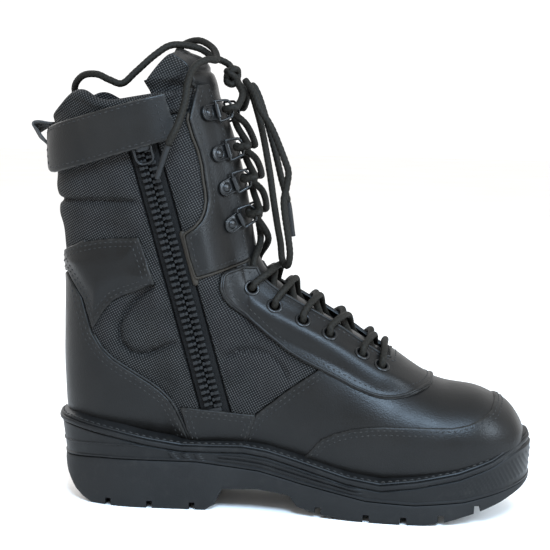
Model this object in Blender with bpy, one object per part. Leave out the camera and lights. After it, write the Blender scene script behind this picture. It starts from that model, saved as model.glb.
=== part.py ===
"""Left side-zip patrol boot in leather and woven fabric, as separate named parts.

Frame: toe towards +X, medial (zip) side towards -Y, +Z up, the tread on z = 0. Lengths are in metres.
The sections are drawn in their own x and y, and CENTRE (mm) moves the finished boot onto the origin.
The upper is one body surface, swept from the toe to the collar, and every panel is a closed shell of it.
"""

import math

import bmesh
import bpy
import numpy as np
from mathutils import Matrix, Vector

MM = 0.001
GAP = 0.3 * MM
CENTRE = (9.5, -1.15, 0.0)

# ---------------------------------------------------------------- driving dimensions
# Sections of the body surface, toe to tongue top, in mm: heel or sole point (x, z), front or top
# point (x, z), half width medial, half width lateral, share of the chord where it is widest,
# roundness of the back and of the front.
SECTIONS = (
    (147.0, 45.0, 147.0, 50.0, 1.0, 1.0, 0.50, 2.0, 2.0),
    (144.5, 36.5, 143.0, 60.0, 21.0, 19.0, 0.48, 2.6, 2.2),
    (136.0, 30.0, 134.5, 70.0, 33.0, 29.5, 0.44, 3.0, 2.2),
    (120.0, 25.0, 118.0, 78.5, 42.5, 39.0, 0.42, 3.2, 2.2),
    (95.0, 20.0, 92.0, 83.0, 47.0, 46.5, 0.40, 3.4, 2.1),
    (64.0, 17.0, 60.0, 97.0, 46.5, 49.5, 0.36, 3.4, 2.1),
    (32.0, 19.0, 28.0, 120.0, 42.0, 48.0, 0.33, 3.4, 2.1),
    (0.0, 26.0, 2.0, 137.0, 37.0, 43.0, 0.32, 3.3, 2.1),
    (-42.0, 33.0, -10.0, 146.0, 34.5, 38.0, 0.33, 3.1, 2.1),
    (-86.0, 36.0, -18.0, 154.5, 34.0, 36.0, 0.36, 2.9, 2.1),
    (-125.0, 37.0, -22.0, 163.0, 34.5, 35.5, 0.40, 2.6, 2.1),
    (-143.5, 48.0, -24.5, 173.0, 34.5, 36.0, 0.44, 2.3, 2.1),
    (-148.0, 80.0, -26.5, 185.0, 35.5, 37.0, 0.46, 2.2, 2.1),
    (-148.5, 112.0, -29.0, 198.0, 36.5, 38.0, 0.48, 2.2, 2.1),
    (-148.5, 140.0, -32.0, 212.0, 37.0, 38.5, 0.50, 2.2, 2.1),
    (-150.5, 168.0, -35.5, 225.0, 38.0, 39.5, 0.50, 2.2, 2.1),
    (-153.5, 194.0, -39.5, 238.0, 40.0, 41.0, 0.50, 2.2, 2.1),
    (-156.0, 218.0, -44.0, 250.0, 42.0, 42.5, 0.50, 2.2, 2.1),
    (-156.0, 238.0, -48.5, 261.0, 43.0, 43.5, 0.50, 2.2, 2.1),
    (-153.5, 254.0, -53.5, 272.0, 43.5, 44.0, 0.50, 2.2, 2.1),
    (-150.0, 270.0, -61.0, 284.0, 43.0, 43.5, 0.50, 2.2, 2.1),
    (-146.0, 286.0, -74.0, 293.0, 42.0, 42.5, 0.50, 2.2, 2.1),
)
THROAT = 4.75

# Radial layers of the upper, in mm from the body surface, inner then outer face.
LINING = (-5.2, -3.8)
STIFFENER = (-3.5, -2.1)
PANEL = (-1.8, 0.0)
OVERLAY = (0.3, 1.9)

# Side-view lines of the medial side, in mm as (x, z).
WELT_TOP = (
    (-160, 56), (-140, 55.2), (-128, 53.2), (-110, 50.2), (-87, 45.8), (-67, 43), (-48, 43),
    (-28, 43.5), (-13, 41.5), (8, 36.2), (38, 28.5), (58, 26), (80, 29), (106, 34.5), (127, 42),
    (143, 50.5), (160, 55),
)
SOLE_SPLIT = (
    (-160, 27.5), (-150, 28), (-140, 29), (-120, 30.5), (-100, 31), (-57, 31), (-38, 29), (-18, 27),
    (8, 21), (49, 13.5), (80, 12.5), (110, 15), (140, 22), (160, 27),
)
VAMP_REAR = ((40, 130), (17.5, 92), (0, 79.5), (-20, 63), (-31, 46), (-36, 20), (200, 20), (200, 130))
CAP_SEAM = (
    (2, 10), (11, 38), (20.5, 49.5), (40, 57.5), (60, 60), (101, 60), (119, 65), (128, 73.5),
    (131, 95), (200, 95), (200, 10),
)
COUNTER = (
    (-175, 157.5), (-150, 157.5), (-139.5, 155.5), (-133.2, 130), (-126.5, 110), (-112, 94),
    (-97, 85), (-81, 74.5), (-71, 63), (-63, 45), (-60, 20), (-175, 20),
)
ANKLE_PATCH = ((-149, 152), (-149, 160), (-137, 165.5), (-121, 169.5), (-100, 171.5), (-95, 172),
               (-84, 142), (-98, 137.5), (-112, 131), (-123, 116), (-125.5, 112), (-132.2, 131))
LOWER_PATCH = ((-68, 66), (-20, 62.5), (-34, 20), (-59, 20), (-61.8, 45))
SOLE_BOTTOM = (
    (-156, 24), (-150.5, 19.5), (-147, 14), (-140, 6.3), (-134, 2.6), (-128, 0), (-52, 0), (-46, 4),
    (-41, 14), (-18, 15), (1, 12.5), (6, 6), (20, 2), (40, 0), (86, 0), (100, 2.5), (118, 8),
    (134, 14), (147, 20), (156, 25),
)
SOLE_PLAN = (
    (153, 0), (149.5, 16), (140, 29), (124, 40.5), (95, 50.5), (62, 54.5), (28, 52.5), (0, 48),
    (-30, 44), (-65, 41), (-100, 40.5), (-128, 34.6), (-145, 21.5), (-152, 0), (-145, -21.5),
    (-128, -33.6), (-100, -39.5), (-65, -39), (-30, -39), (0, -41.5), (28, -46.5), (62, -51.5),
    (95, -51), (124, -44.5), (140, -33), (149.5, -18),
)
HEEL_SLOTS = (-114, -87, -60)
TREAD_SLOTS = (20, 50, 73, 96, 118)
STRAP_FRONT = -77.0
FACING = (
    (-64, 300), (-63, 266), (-66, 245), (-59.5, 226), (-56, 208), (-54, 195), (-56.5, 183),
    (-66, 174), (-62.5, 160), (-58.5, 148.5), (-45, 152.5), (-31.5, 157), (-26, 163), (30, 168),
    (30, 300),
)
EYESTAY = (
    (-45, 148), (-42, 151.5), (-36, 153.5), (-26, 152), (-14, 150.5), (20, 165), (95, 130),
    (92, 84), (86, 81), (80, 78.5), (73, 76), (60, 75.5), (49, 78), (31, 86), (17, 92.5), (-2, 102),
    (-16, 112), (-31, 123.5), (-43, 135),
)
EYELETS = ((55, 89.6), (40.5, 97.7), (22, 107.9), (5.4, 116.2), (-12.7, 126.9), (-29.1, 136.9))
EYELET_INSET = 13.0
CLIPS = ((-40.5, 180.5), (-42.5, 204), (-46, 226), (-51, 250))

LACE_GAP = ((0, 12), (4.6, 12), (5.2, 17), (7, 18), (9, 18), (11, 16), (13, 16), (21, 17))
TONGUE_EDGE = 13.0
LACE_D = 4.5

# The zip: a straight line on a flattened strip of the medial side, in mm.
ZIP_TOP = (-96.0, 239.5)
ZIP_END = (-46.5, 66.0)
ZIP_Y = (-43.5, -37.8)
ZIP_FLAT = 15.0


# ---------------------------------------------------------------- body surface
def smoothstep(value, low, high):
    """0 below low, 1 above high, smooth between."""
    share = np.clip((np.asarray(value, float) - low) / (high - low), 0.0, 1.0)
    return share * share * (3.0 - 2.0 * share)


def sections_at(t):
    """The nine section values at each station number in t, by Catmull-Rom interpolation."""
    table = np.array(SECTIONS)
    table = np.vstack([2 * table[0] - table[1], table, 2 * table[-1] - table[-2]])
    base = np.clip(np.floor(t).astype(int), 0, len(SECTIONS) - 2)
    u = (t - base)[:, None]
    a, b, c, d = (table[base + k] for k in range(4))
    return 0.5 * (2 * b + (c - a) * u + (2 * a - 5 * b + 4 * c - d) * u**2 + (3 * b - a - 3 * c + d) * u**3)


def zip_frame():
    """Start, unit direction down the zip, unit vector across it towards the toe, and outward normal."""
    start = np.array([ZIP_TOP[0], ZIP_Y[0], ZIP_TOP[1]])
    end = np.array([ZIP_END[0], ZIP_Y[1], ZIP_END[1]])
    length = np.linalg.norm(end - start)
    along = (end - start) / length
    across = np.cross(along, (0.0, -1.0, 0.0))
    across /= np.linalg.norm(across)
    across *= np.sign(across[0])
    normal = np.cross(across, along)
    normal *= -np.sign(normal[1])
    return start, along, across, normal, length


def flatten_for_zip(points):
    """Bring the medial side beside the zip onto the zip's plane."""
    start, along, across, normal, length = zip_frame()
    rel = points - start
    s = rel @ along
    d = rel @ across
    height = rel @ normal
    weight = 1 - smoothstep(np.abs(d), ZIP_FLAT, ZIP_FLAT + 20)
    weight *= smoothstep(s, -42, -14) * (1 - smoothstep(s, length + 6, length + 34))
    weight *= points[..., 1] < 0
    return points - (height * weight)[..., None] * normal


def body_grid(t, columns):
    """Points (mm) and outward normals for stations t and columns of v, -1 (heel side, medial) to 1."""
    table = sections_at(np.asarray(t, float))
    angle = np.linspace(0, math.pi, 241)
    share = np.abs(np.linspace(-1, 1, columns + 1)[:-1])
    rows = []
    for bx, bz, fx, fz, medial, lateral, widest, back, front in table:
        power = np.where(angle < math.pi / 2, 2 / front, 2 / back)
        c = np.sign(np.cos(angle)) * np.abs(np.cos(angle)) ** power
        s = np.abs(np.sin(angle)) ** power
        s[-1] = 0
        reach = np.where(c > 0, widest + (1 - widest) * c, widest + widest * c)
        halves = []
        for width in (-medial, lateral):
            line = np.stack([bx + (fx - bx) * reach, width * s, bz + (fz - bz) * reach], 1)
            run = np.concatenate([[0], np.cumsum(np.linalg.norm(np.diff(line, axis=0), axis=1))])
            halves.append(np.stack([np.interp(share * run[-1], run, line[:, k]) for k in range(3)], 1))
        medial_half = np.linspace(-1, 1, columns + 1)[:-1] < 0
        rows.append(np.where(medial_half[:, None], halves[0], halves[1]))
    points = np.array(rows)
    front_dent = 3.0 * smoothstep(np.asarray(t), THROAT - 0.6, THROAT + 1.0)
    points = flatten_for_zip(points)
    normals = grid_normals(points)
    arc = front_distance(points)
    gap = lace_gap(t)[:, None]
    dent = front_dent[:, None] * (1 - smoothstep(arc, gap + 8, gap + 26))
    points = points - normals * dent[..., None]
    return points, grid_normals(points), arc


def grid_normals(points):
    """Outward unit normals of a grid that closes round its columns."""
    along = np.gradient(points, axis=0)
    round_it = np.roll(points, -1, 1) - np.roll(points, 1, 1)
    normals = np.cross(round_it, along)
    length = np.linalg.norm(normals, axis=2, keepdims=True)
    normals = normals / np.maximum(length, 1e-9)
    outward = points - points.mean(axis=1, keepdims=True)
    flip = np.sign((normals * outward).sum(axis=2).mean(axis=1))
    return normals * np.where(flip == 0, 1, flip)[:, None, None]


def front_distance(points):
    """Distance (mm) over the surface from the front centre line, for each point of the grid."""
    columns = points.shape[1]
    middle = columns // 2
    step = np.linalg.norm(np.diff(points, axis=1), axis=2)
    run = np.concatenate([np.zeros((len(points), 1)), np.cumsum(step, axis=1)], axis=1)
    return np.abs(run - run[:, middle : middle + 1])


def lace_gap(t):
    """Half the gap (mm) between the two facings at station t."""
    gap = np.array(LACE_GAP)
    return np.interp(np.asarray(t, float), gap[:, 0], gap[:, 1])


def line_z(line, x):
    line = np.array(line, float)
    return np.interp(x, line[:, 0], line[:, 1])


def inside(outline, x, z):
    """Signed distance (mm) to a side-view outline, negative inside it."""
    corners = np.array(outline, float)
    nearest = np.full(np.shape(x), 1e9)
    crossings = np.zeros(np.shape(x), int)
    for a, b in zip(corners, np.roll(corners, -1, 0), strict=True):
        edge = b - a
        u = np.clip(((x - a[0]) * edge[0] + (z - a[1]) * edge[1]) / (edge @ edge), 0, 1)
        nearest = np.minimum(nearest, np.hypot(x - a[0] - u * edge[0], z - a[1] - u * edge[1]))
        spans = (a[1] > z) != (b[1] > z)
        safe = edge[1] if edge[1] != 0 else 1.0
        crossings += spans & (x < a[0] + edge[0] * (z - a[1]) / safe)
    return np.where(crossings % 2 == 1, -nearest, nearest)


ROWS = np.array(
    (0.12, 0.5, 1, 1.5, 2, 2.6, 3.2, 3.8, 4.4, 4.75, 5.2, 5.8, 6.4, 7, 7.7, 8.4, 9.2, 10, 11, 12, 12.7, 13.5,
     14.25, 14.75, 15.1, 15.8, 16.5, 17.0, 17.5, 18.0, 18.6, 19.2, 19.8, 20.4, 21)
)
COLUMNS = 24
POINTS, NORMALS, ARC = body_grid(ROWS, COLUMNS)
STATION = np.repeat(ROWS[:, None], COLUMNS, axis=1)
X, Y, Z = POINTS[..., 0], POINTS[..., 1], POINTS[..., 2]
FRONT_GAP = lace_gap(STATION)
SIDE = np.where(np.arange(COLUMNS) < COLUMNS // 2, -1.0, 1.0)[None, :] * np.ones_like(X)
SIDE[:, [0, COLUMNS // 2]] = 0.0


def zip_across():
    """Distance (mm) across the zip's line for each grid point, large on the lateral side."""
    start, along, across, normal, length = zip_frame()
    rel = POINTS - start
    d = rel @ across
    s = rel @ along
    return np.where(Y < -12, d, 200.0), s, length


ZIP_D, ZIP_S, ZIP_LENGTH = zip_across()


# ---------------------------------------------------------------- building tools
def clear_scene():
    for item in list(bpy.data.objects):
        bpy.data.objects.remove(item, do_unlink=True)


MATERIALS = {}


def material(name, colour, roughness, metallic=0.0):
    if name not in MATERIALS:
        made = bpy.data.materials.new(name)
        made.use_nodes = True
        shader = made.node_tree.nodes["Principled BSDF"]
        shader.inputs["Base Color"].default_value = (*colour, 1.0)
        shader.inputs["Roughness"].default_value = roughness
        shader.inputs["Metallic"].default_value = metallic
        made.diffuse_color = (*colour, 1.0)
        MATERIALS[name] = made
    return MATERIALS[name]


LOOKS = {
    "leather": ((0.018, 0.018, 0.020), 0.42, 0.0),
    "fabric": ((0.030, 0.030, 0.032), 0.85, 0.0),
    "rubber": ((0.016, 0.016, 0.017), 0.62, 0.0),
    "lining": ((0.045, 0.045, 0.047), 0.9, 0.0),
    "board": ((0.35, 0.28, 0.20), 0.8, 0.0),
    "steel": ((0.55, 0.55, 0.56), 0.35, 1.0),
    "black_metal": ((0.02, 0.02, 0.022), 0.3, 1.0),
    "moulded": ((0.014, 0.014, 0.015), 0.4, 0.0),
    "lace": ((0.028, 0.026, 0.022), 0.9, 0.0),
    "tape": ((0.022, 0.022, 0.023), 0.85, 0.0),
}


def add_object(name, look, points, faces, origin=(0, 0, 0), smooth=True):
    """A mesh object from points in mm, with its origin at origin (mm)."""
    mesh = bpy.data.meshes.new(name)
    local = (np.asarray(points, float) - np.asarray(origin, float)) * MM
    mesh.from_pydata(local.tolist(), [], [list(map(int, f)) for f in faces])
    made = bpy.data.objects.new(name, mesh)
    made.location = Vector(np.asarray(origin, float) * MM)
    bpy.context.scene.collection.objects.link(made)
    bm = bmesh.new()
    bm.from_mesh(mesh)
    bmesh.ops.recalc_face_normals(bm, faces=bm.faces)
    if bm.calc_volume(signed=True) < 0:
        bmesh.ops.reverse_faces(bm, faces=bm.faces)
    bm.to_mesh(mesh)
    bm.free()
    mesh.materials.append(material(name, *LOOKS[look]))
    if smooth:
        mesh.polygons.foreach_set("use_smooth", [True] * len(mesh.polygons))
        mesh.set_sharp_from_angle(angle=math.radians(40))
    return made


def grid_patch(field, rows=slice(None), closed_toe=False):
    """The part of the body grid where field (mm) is negative: points, normals and triangles."""
    points, normals, value = POINTS[rows], NORMALS[rows], np.array(field[rows], float)
    station = STATION[rows]
    arc = ARC[rows]
    count, columns = value.shape
    value = np.where(np.abs(value) < 0.05, -0.05, value)
    data = np.concatenate([points, normals, station[..., None], arc[..., None]], axis=2).reshape(-1, 8)
    level = value.reshape(-1)
    triangles = []
    for i in range(count - 1):
        for j in range(columns):
            a, b = i * columns + j, i * columns + (j + 1) % columns
            c, d = a + columns, b + columns
            if j < columns // 2:
                triangles += [(a, b, d), (a, d, c)]
            else:
                triangles += [(a, b, c), (b, d, c)]
    if closed_toe:
        toe = data[:columns].mean(axis=0)
        toe[3:6] = (1.0, 0.0, 0.0)
        toe[0] = data[:columns, 0].max() + 0.8
        data = np.vstack([data, toe])
        level = np.append(level, level[:columns].mean())
        triangles += [(len(data) - 1, (j + 1) % columns, j) for j in range(columns)]
    out, index, faces = [], {}, []

    def vertex(key, row):
        if key not in index:
            index[key] = len(out)
            out.append(row)
        return index[key]

    def cut(p, q):
        key = (min(p, q), max(p, q))
        share = min(max(level[key[0]] / (level[key[0]] - level[key[1]]), 0.04), 0.96)
        return vertex(key, data[key[0]] * (1 - share) + data[key[1]] * share)

    for tri in triangles:
        loop = []
        for p, q in zip(tri, tri[1:] + tri[:1], strict=True):
            if level[p] < 0:
                loop.append(vertex((p,), data[p]))
            if (level[p] < 0) != (level[q] < 0):
                loop.append(cut(p, q))
        faces += [(loop[0], loop[k], loop[k + 1]) for k in range(1, len(loop) - 1)]
    rows_out = np.array(out)
    length = np.linalg.norm(rows_out[:, 3:6], axis=1, keepdims=True)
    return rows_out[:, :3], rows_out[:, 3:6] / length, np.array(faces), rows_out[:, 6], rows_out[:, 7]


def shell(name, look, field, layer, rows=slice(None), closed_toe=False):
    """A closed shell over the body where field is negative, between two offsets (mm)."""
    points, normals, faces, station, arc = grid_patch(field, rows, closed_toe)
    inner, outer = (v(points, station, arc) if callable(v) else np.full(len(points), v) for v in layer)
    low = points + normals * inner[:, None]
    high = points + normals * outer[:, None]
    count = len(points)
    edges = {}
    for tri in faces:
        for p, q in zip(tri, np.roll(tri, -1), strict=True):
            edges[(p, q)] = True
    walls = []
    for p, q in edges:
        if (q, p) not in edges:
            walls += [(p, q, q + count), (p, q + count, p + count)]
    all_faces = [tuple(f + count) for f in faces]
    all_faces += [tuple(f[::-1]) for f in faces]
    all_faces += [w[::-1] for w in walls]
    return add_object(name, look, np.vstack([low, high]), all_faces)


def revolve(name, look, profile, centre, axes, segments=20, scale=(1, 1)):
    """A closed ring from (radius, height) profile points, about the third column of axes."""
    points, faces = [], []
    for k in range(segments):
        a = 2 * math.pi * k / segments
        for radius, height in profile:
            local = np.array([radius * math.cos(a) * scale[0], radius * math.sin(a) * scale[1], height])
            points.append(np.asarray(centre) + axes @ local)
    size = len(profile)
    for k in range(segments):
        m = (k + 1) % segments
        for p in range(size):
            q = (p + 1) % size
            faces.append((k * size + p, k * size + q, m * size + q, m * size + p))
    return add_object(name, look, points, faces)


def tube(name, look, route, diameter, closed=False, resolution=2):
    """A round cord or wire along points in mm."""
    curve = bpy.data.curves.new(name, "CURVE")
    curve.dimensions = "3D"
    spline = curve.splines.new("POLY")
    spline.points.add(len(route) - 1)
    for slot, point in zip(spline.points, route, strict=True):
        slot.co = (*(np.asarray(point, float) * MM), 1.0)
    spline.use_cyclic_u = closed
    curve.bevel_depth = diameter / 2 * MM
    curve.bevel_resolution = resolution
    curve.use_fill_caps = True
    made = bpy.data.objects.new(name, curve)
    bpy.context.scene.collection.objects.link(made)
    curve.materials.append(material(name, *LOOKS[look]))
    return made


def smooth_route(points, step):
    """Points every step mm along a Catmull-Rom curve through points."""
    p = np.array(points, float)
    p = np.vstack([2 * p[0] - p[1], p, 2 * p[-1] - p[-2]])
    dense = []
    for k in range(1, len(p) - 2):
        a, b, c, d = p[k - 1 : k + 3]
        for u in np.linspace(0, 1, 24, endpoint=False):
            dense.append(
                0.5 * (
                    2 * b + (c - a) * u + (2 * a - 5 * b + 4 * c - d) * u**2
                    + (3 * b - a - 3 * c + d) * u**3
                )
            )
    dense.append(p[-2])
    dense = np.array(dense)
    run = np.concatenate([[0], np.cumsum(np.linalg.norm(np.diff(dense, axis=0), axis=1))])
    count = max(2, round(run[-1] / step) + 1)
    at = np.linspace(0, run[-1], count)
    return np.stack([np.interp(at, run, dense[:, k]) for k in range(3)], 1)


def box_object(name, size, centre, axes, hide=True):
    """A box of size (mm) at centre with its edges along the columns of axes."""
    corners = [(sx, sy, sz) for sx in (-0.5, 0.5) for sy in (-0.5, 0.5) for sz in (-0.5, 0.5)]
    points = [np.asarray(centre) + axes @ (np.array(c) * size) for c in corners]
    faces = [(0, 1, 3, 2), (4, 6, 7, 5), (0, 4, 5, 1), (2, 3, 7, 6), (0, 2, 6, 4), (1, 5, 7, 3)]
    made = add_object(name, "steel", points, faces, smooth=False)
    if hide:
        as_cutter(made)
    return made


def as_cutter(made):
    made.hide_render = True
    made.display_type = "WIRE"


def boolean(target, tool, operation):
    step = target.modifiers.new(operation.title(), "BOOLEAN")
    step.operation = operation
    step.solver = "EXACT"
    step.object = tool
    return step


def sweep(name, look, route, diameter, sides=6):
    """A round cord as a mesh, along points in mm."""
    path = np.array(route, float)
    ahead = np.gradient(path, axis=0)
    ahead /= np.linalg.norm(ahead, axis=1, keepdims=True)
    across = np.cross(ahead[0], (0.3, 0.2, 0.93))
    across /= np.linalg.norm(across)
    points, faces = [], []
    for k, (centre, forward) in enumerate(zip(path, ahead, strict=True)):
        across = across - forward * (across @ forward)
        across /= np.linalg.norm(across)
        other = np.cross(forward, across)
        for m in range(sides):
            a = 2 * math.pi * m / sides
            points.append(centre + (across * math.cos(a) + other * math.sin(a)) * diameter / 2)
            if k:
                p, q = (k - 1) * sides + m, (k - 1) * sides + (m + 1) % sides
                faces.append((p, q, q + sides, p + sides))
    last = (len(path) - 1) * sides
    faces.append(tuple(range(sides))[::-1])
    faces.append(tuple(range(last, last + sides)))
    return add_object(name, look, points, faces)


def ball(name, look, centre, radii, segments=12, rings=8):
    points = [np.asarray(centre) + np.array((0, 0, radii[2]))]
    for r in range(1, rings):
        polar = math.pi * r / rings
        for s in range(segments):
            a = 2 * math.pi * s / segments
            unit = np.array((math.sin(polar) * math.cos(a), math.sin(polar) * math.sin(a), math.cos(polar)))
            points.append(np.asarray(centre) + unit * radii)
    points.append(np.asarray(centre) - np.array((0, 0, radii[2])))
    faces = [(0, 1 + s, 1 + (s + 1) % segments) for s in range(segments)]
    for r in range(rings - 2):
        for s in range(segments):
            p, q = 1 + r * segments + s, 1 + r * segments + (s + 1) % segments
            faces.append((p, p + segments, q + segments, q))
    base = 1 + (rings - 2) * segments
    faces += [(base + s, len(points) - 1, base + (s + 1) % segments) for s in range(segments)]
    return add_object(name, look, points, faces)


def extrude(name, look, profile, depth, centre, axes, origin=(0, 0, 0)):
    """A prism of a profile (first two columns of axes), depth thick along the third."""
    count = len(profile)
    centre = np.asarray(centre)
    points = [centre + axes @ np.array((u, v, w)) for w in (-depth / 2, depth / 2) for u, v in profile]
    faces = [tuple(range(count))[::-1], tuple(range(count, 2 * count))]
    faces += [(k, (k + 1) % count, (k + 1) % count + count, k + count) for k in range(count)]
    return add_object(name, look, points, faces, origin)


# ---------------------------------------------------------------- regions of the upper
def feather(x):
    """Height (mm) of the body's underside at x."""
    under = POINTS[ROWS <= 11, 0][::-1]
    return np.interp(x, under[:, 0], under[:, 2])


LOW = feather(X) + 5 - Z
TONGUE_REACH = FRONT_GAP + TONGUE_EDGE
TONGUE_REACH = TONGUE_REACH + 34 * smoothstep(STATION, 18.65, 19.3)
TONGUE_TOP = 20.95 - 1.7 * (np.minimum(ARC, 62) / 62) ** 2
TONGUE = np.maximum.reduce([ARC - TONGUE_REACH, (THROAT + 0.1 - STATION) * 28, (STATION - TONGUE_TOP) * 14])
VAMP = inside(VAMP_REAR, X, Z)
FACING_AREA = inside(FACING, X, Z)
MEDIAL_D = np.where(Y < -12, ZIP_D, -200.0)
BEYOND_ZIP = np.minimum(ZIP_S - 0.2, ZIP_LENGTH + 10.6 - ZIP_S)
SHAFT_EDGE = np.minimum((STATION - 17.45) * 24, np.maximum((STATION - 18.5) * 20, FACING_AREA + 0.2))
QUARTER = np.maximum.reduce([GAP / MM - VAMP, LOW, 0.3 - TONGUE, SHAFT_EDGE])


def eyestay_lift(points, station, arc):
    """How far the lower facings stand off the tongue, to let the lace run under them."""
    gap = lace_gap(station)
    side_fade = 1 - smoothstep(arc, gap + 17, gap + 28.5)
    return 5.4 * side_fade * smoothstep(station, THROAT - 0.6, THROAT + 0.35)


def eyestay_inner(points, station, arc):
    return OVERLAY[0] + eyestay_lift(points, station, arc)


def eyestay_outer(points, station, arc):
    return OVERLAY[1] + eyestay_lift(points, station, arc)


def make_upper():
    rows_low = slice(0, int(np.searchsorted(ROWS, 13.2)))
    shell("lining", "lining", (STATION - 18.3) * 20, LINING, closed_toe=True)
    board = np.maximum(Z - feather(X) - 1.2, (STATION - 10.6) * 30)
    insole = shell("insole_board", "board", board, (-3.5, 2.0), rows_low)
    bed = np.maximum.reduce([Z - feather(X) - 0.9, (STATION - 10.4) * 30, (1.4 - STATION) * 20])
    shell("footbed", "lining", bed, (-9.6, -5.5), rows_low)
    stiff = inside(((-175, 100), (-112, 96), (-86, 70), (-80, 20), (-175, 20)), X, Z)
    shell("heel_stiffener", "board", np.maximum(stiff, LOW + 5), STIFFENER)
    shell("vamp", "leather", np.maximum.reduce([VAMP, LOW, 0.3 - TONGUE]), PANEL, closed_toe=True)
    shell("tongue", "leather", TONGUE, PANEL)
    shell("quarter_medial", "fabric", np.maximum(QUARTER, 9.7 - MEDIAL_D), PANEL)
    behind_zip = np.minimum(MEDIAL_D + 9.7, np.maximum(MEDIAL_D - 8.9, BEYOND_ZIP))
    shell("shaft_fabric", "fabric", np.maximum(QUARTER, behind_zip), PANEL)
    rim = 18.6 + 0.75 * np.exp(-(((X + 136) / 13) ** 2))
    collar = np.maximum.reduce(
        [(17.5 - STATION) * 24, (STATION - rim) * 20, 0.5 - FACING_AREA, 0.3 - TONGUE])
    shell("collar", "fabric", collar, (-3.5, 1.0))
    shell("toe_cap", "leather", np.maximum(inside(CAP_SEAM, X, Z), LOW), OVERLAY, closed_toe=True)
    band = np.maximum(np.abs(STATION - 14.5) * 24 - 7, X + 131)
    ankle = np.minimum(inside(ANKLE_PATCH, X, Z), band)
    shell("heel_counter", "leather", np.maximum.reduce([inside(COUNTER, X, Z), LOW, 0.7 - ankle]), OVERLAY)
    shell("ankle_patch", "leather", ankle, OVERLAY)
    patch = np.maximum(inside(LOWER_PATCH, X, Z), LOW)
    facing = np.maximum.reduce([FACING_AREA, FRONT_GAP - ARC, (STATION - 18.7) * 20])
    for name, side in (("medial", -1), ("lateral", 1)):
        shell("lower_patch_" + name, "leather", np.maximum(patch, -side * Y + 5), OVERLAY)
        shell("facing_" + name, "leather", np.maximum(facing, -side * Y), OVERLAY)
    throat = np.maximum(ARC - FRONT_GAP, (THROAT - STATION) * 28)
    stay = np.maximum(inside(EYESTAY, X, Z), -throat)
    return shell("eyestay", "leather", stay, (eyestay_inner, eyestay_outer)), insole


# ---------------------------------------------------------------- finer lookups on the body
FINE_T = np.linspace(1.0, 21.0, 401)
FINE_V = 224
FINE_P, FINE_N, FINE_ARC = body_grid(FINE_T, FINE_V)


def find_side(x, z, side):
    """Station and signed distance from the front centre at side-view position (x, z)."""
    miss = np.hypot(FINE_P[..., 0] - x, FINE_P[..., 2] - z) + 1e3 * (FINE_P[..., 1] * side < 4)
    i, j = np.unravel_index(np.argmin(miss), miss.shape)
    return FINE_T[i], FINE_ARC[i, j]


def on_body(t, arc, side, height=0.0):
    """Point at station t, arc mm round from the front centre on one side, height mm off the body."""
    i = int(round((t - FINE_T[0]) / (FINE_T[1] - FINE_T[0])))
    i = min(max(i, 0), len(FINE_T) - 1)
    middle = FINE_V // 2
    if side < 0:
        order = np.arange(middle, -1, -1)
    else:
        order = np.arange(middle, FINE_V)
    run = FINE_ARC[i, order]
    point = np.array([np.interp(arc, run, FINE_P[i, order, k]) for k in range(3)])
    normal = np.array([np.interp(arc, run, FINE_N[i, order, k]) for k in range(3)])
    normal /= np.linalg.norm(normal)
    return point + normal * height, normal


def local_axes(t, arc, side):
    """Columns: towards the front centre, up the boot, outward normal."""
    point, normal = on_body(t, arc, side)
    inward = on_body(t, max(arc - 3, 0), side)[0] - point
    inward = inward - normal * (inward @ normal)
    inward /= np.linalg.norm(inward)
    up = np.cross(normal, inward)
    if up @ (on_body(t + 0.3, arc, side)[0] - point) < 0:
        up = -up
    return np.stack([inward, up, normal], 1)


# ---------------------------------------------------------------- sole
def closed_curve(points, count):
    """count points evenly along a closed Catmull-Rom curve."""
    p = np.array(points, float)
    dense = []
    for k in range(len(p)):
        a, b, c, d = p[k - 1], p[k], p[(k + 1) % len(p)], p[(k + 2) % len(p)]
        for u in np.linspace(0, 1, 16, endpoint=False):
            dense.append(
                0.5 * (
                    2 * b + (c - a) * u + (2 * a - 5 * b + 4 * c - d) * u**2
                    + (3 * b - a - 3 * c + d) * u**3
                )
            )
    dense = np.array(dense + [dense[0]])
    run = np.concatenate([[0], np.cumsum(np.linalg.norm(np.diff(dense, axis=0), axis=1))])
    at = np.linspace(0, run[-1], count, endpoint=False)
    return np.stack([np.interp(at, run, dense[:, k]) for k in range(2)], 1)


SOLE_COUNT = 46
PLAN = closed_curve(SOLE_PLAN, SOLE_COUNT)


def plan_ring(offset):
    """The sole's outline moved outwards by offset (mm, number or one per point)."""
    ahead = np.roll(PLAN, -1, 0) - np.roll(PLAN, 1, 0)
    out = np.stack([ahead[:, 1], -ahead[:, 0]], 1)
    out /= np.linalg.norm(out, axis=1, keepdims=True)
    out *= np.sign((out * (PLAN - PLAN.mean(axis=0))).sum(axis=1).mean())
    return PLAN + out * np.reshape(offset, (-1, 1))


def loft_rings(name, look, rings):
    """A solid from stacked rings, bottom to top, its ends closed by strips across."""
    count = len(rings[0])
    points = np.vstack(rings)
    faces = []
    for r in range(len(rings) - 1):
        for k in range(count):
            m = (k + 1) % count
            faces.append((r * count + k, r * count + m, (r + 1) * count + m, (r + 1) * count + k))
    for base in (0, (len(rings) - 1) * count):
        half = count // 2
        for k in range(half):
            p, q, r, s = base + k, base + k + 1, base + (count - k - 1) % count, base + (count - k) % count
            faces.append(tuple(dict.fromkeys((p, q, r, s))))
    return add_object(name, look, points, faces)


def sole_ring(offset, z):
    plan = plan_ring(offset)
    return np.column_stack([plan, z(plan[:, 0]) if callable(z) else z])


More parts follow.
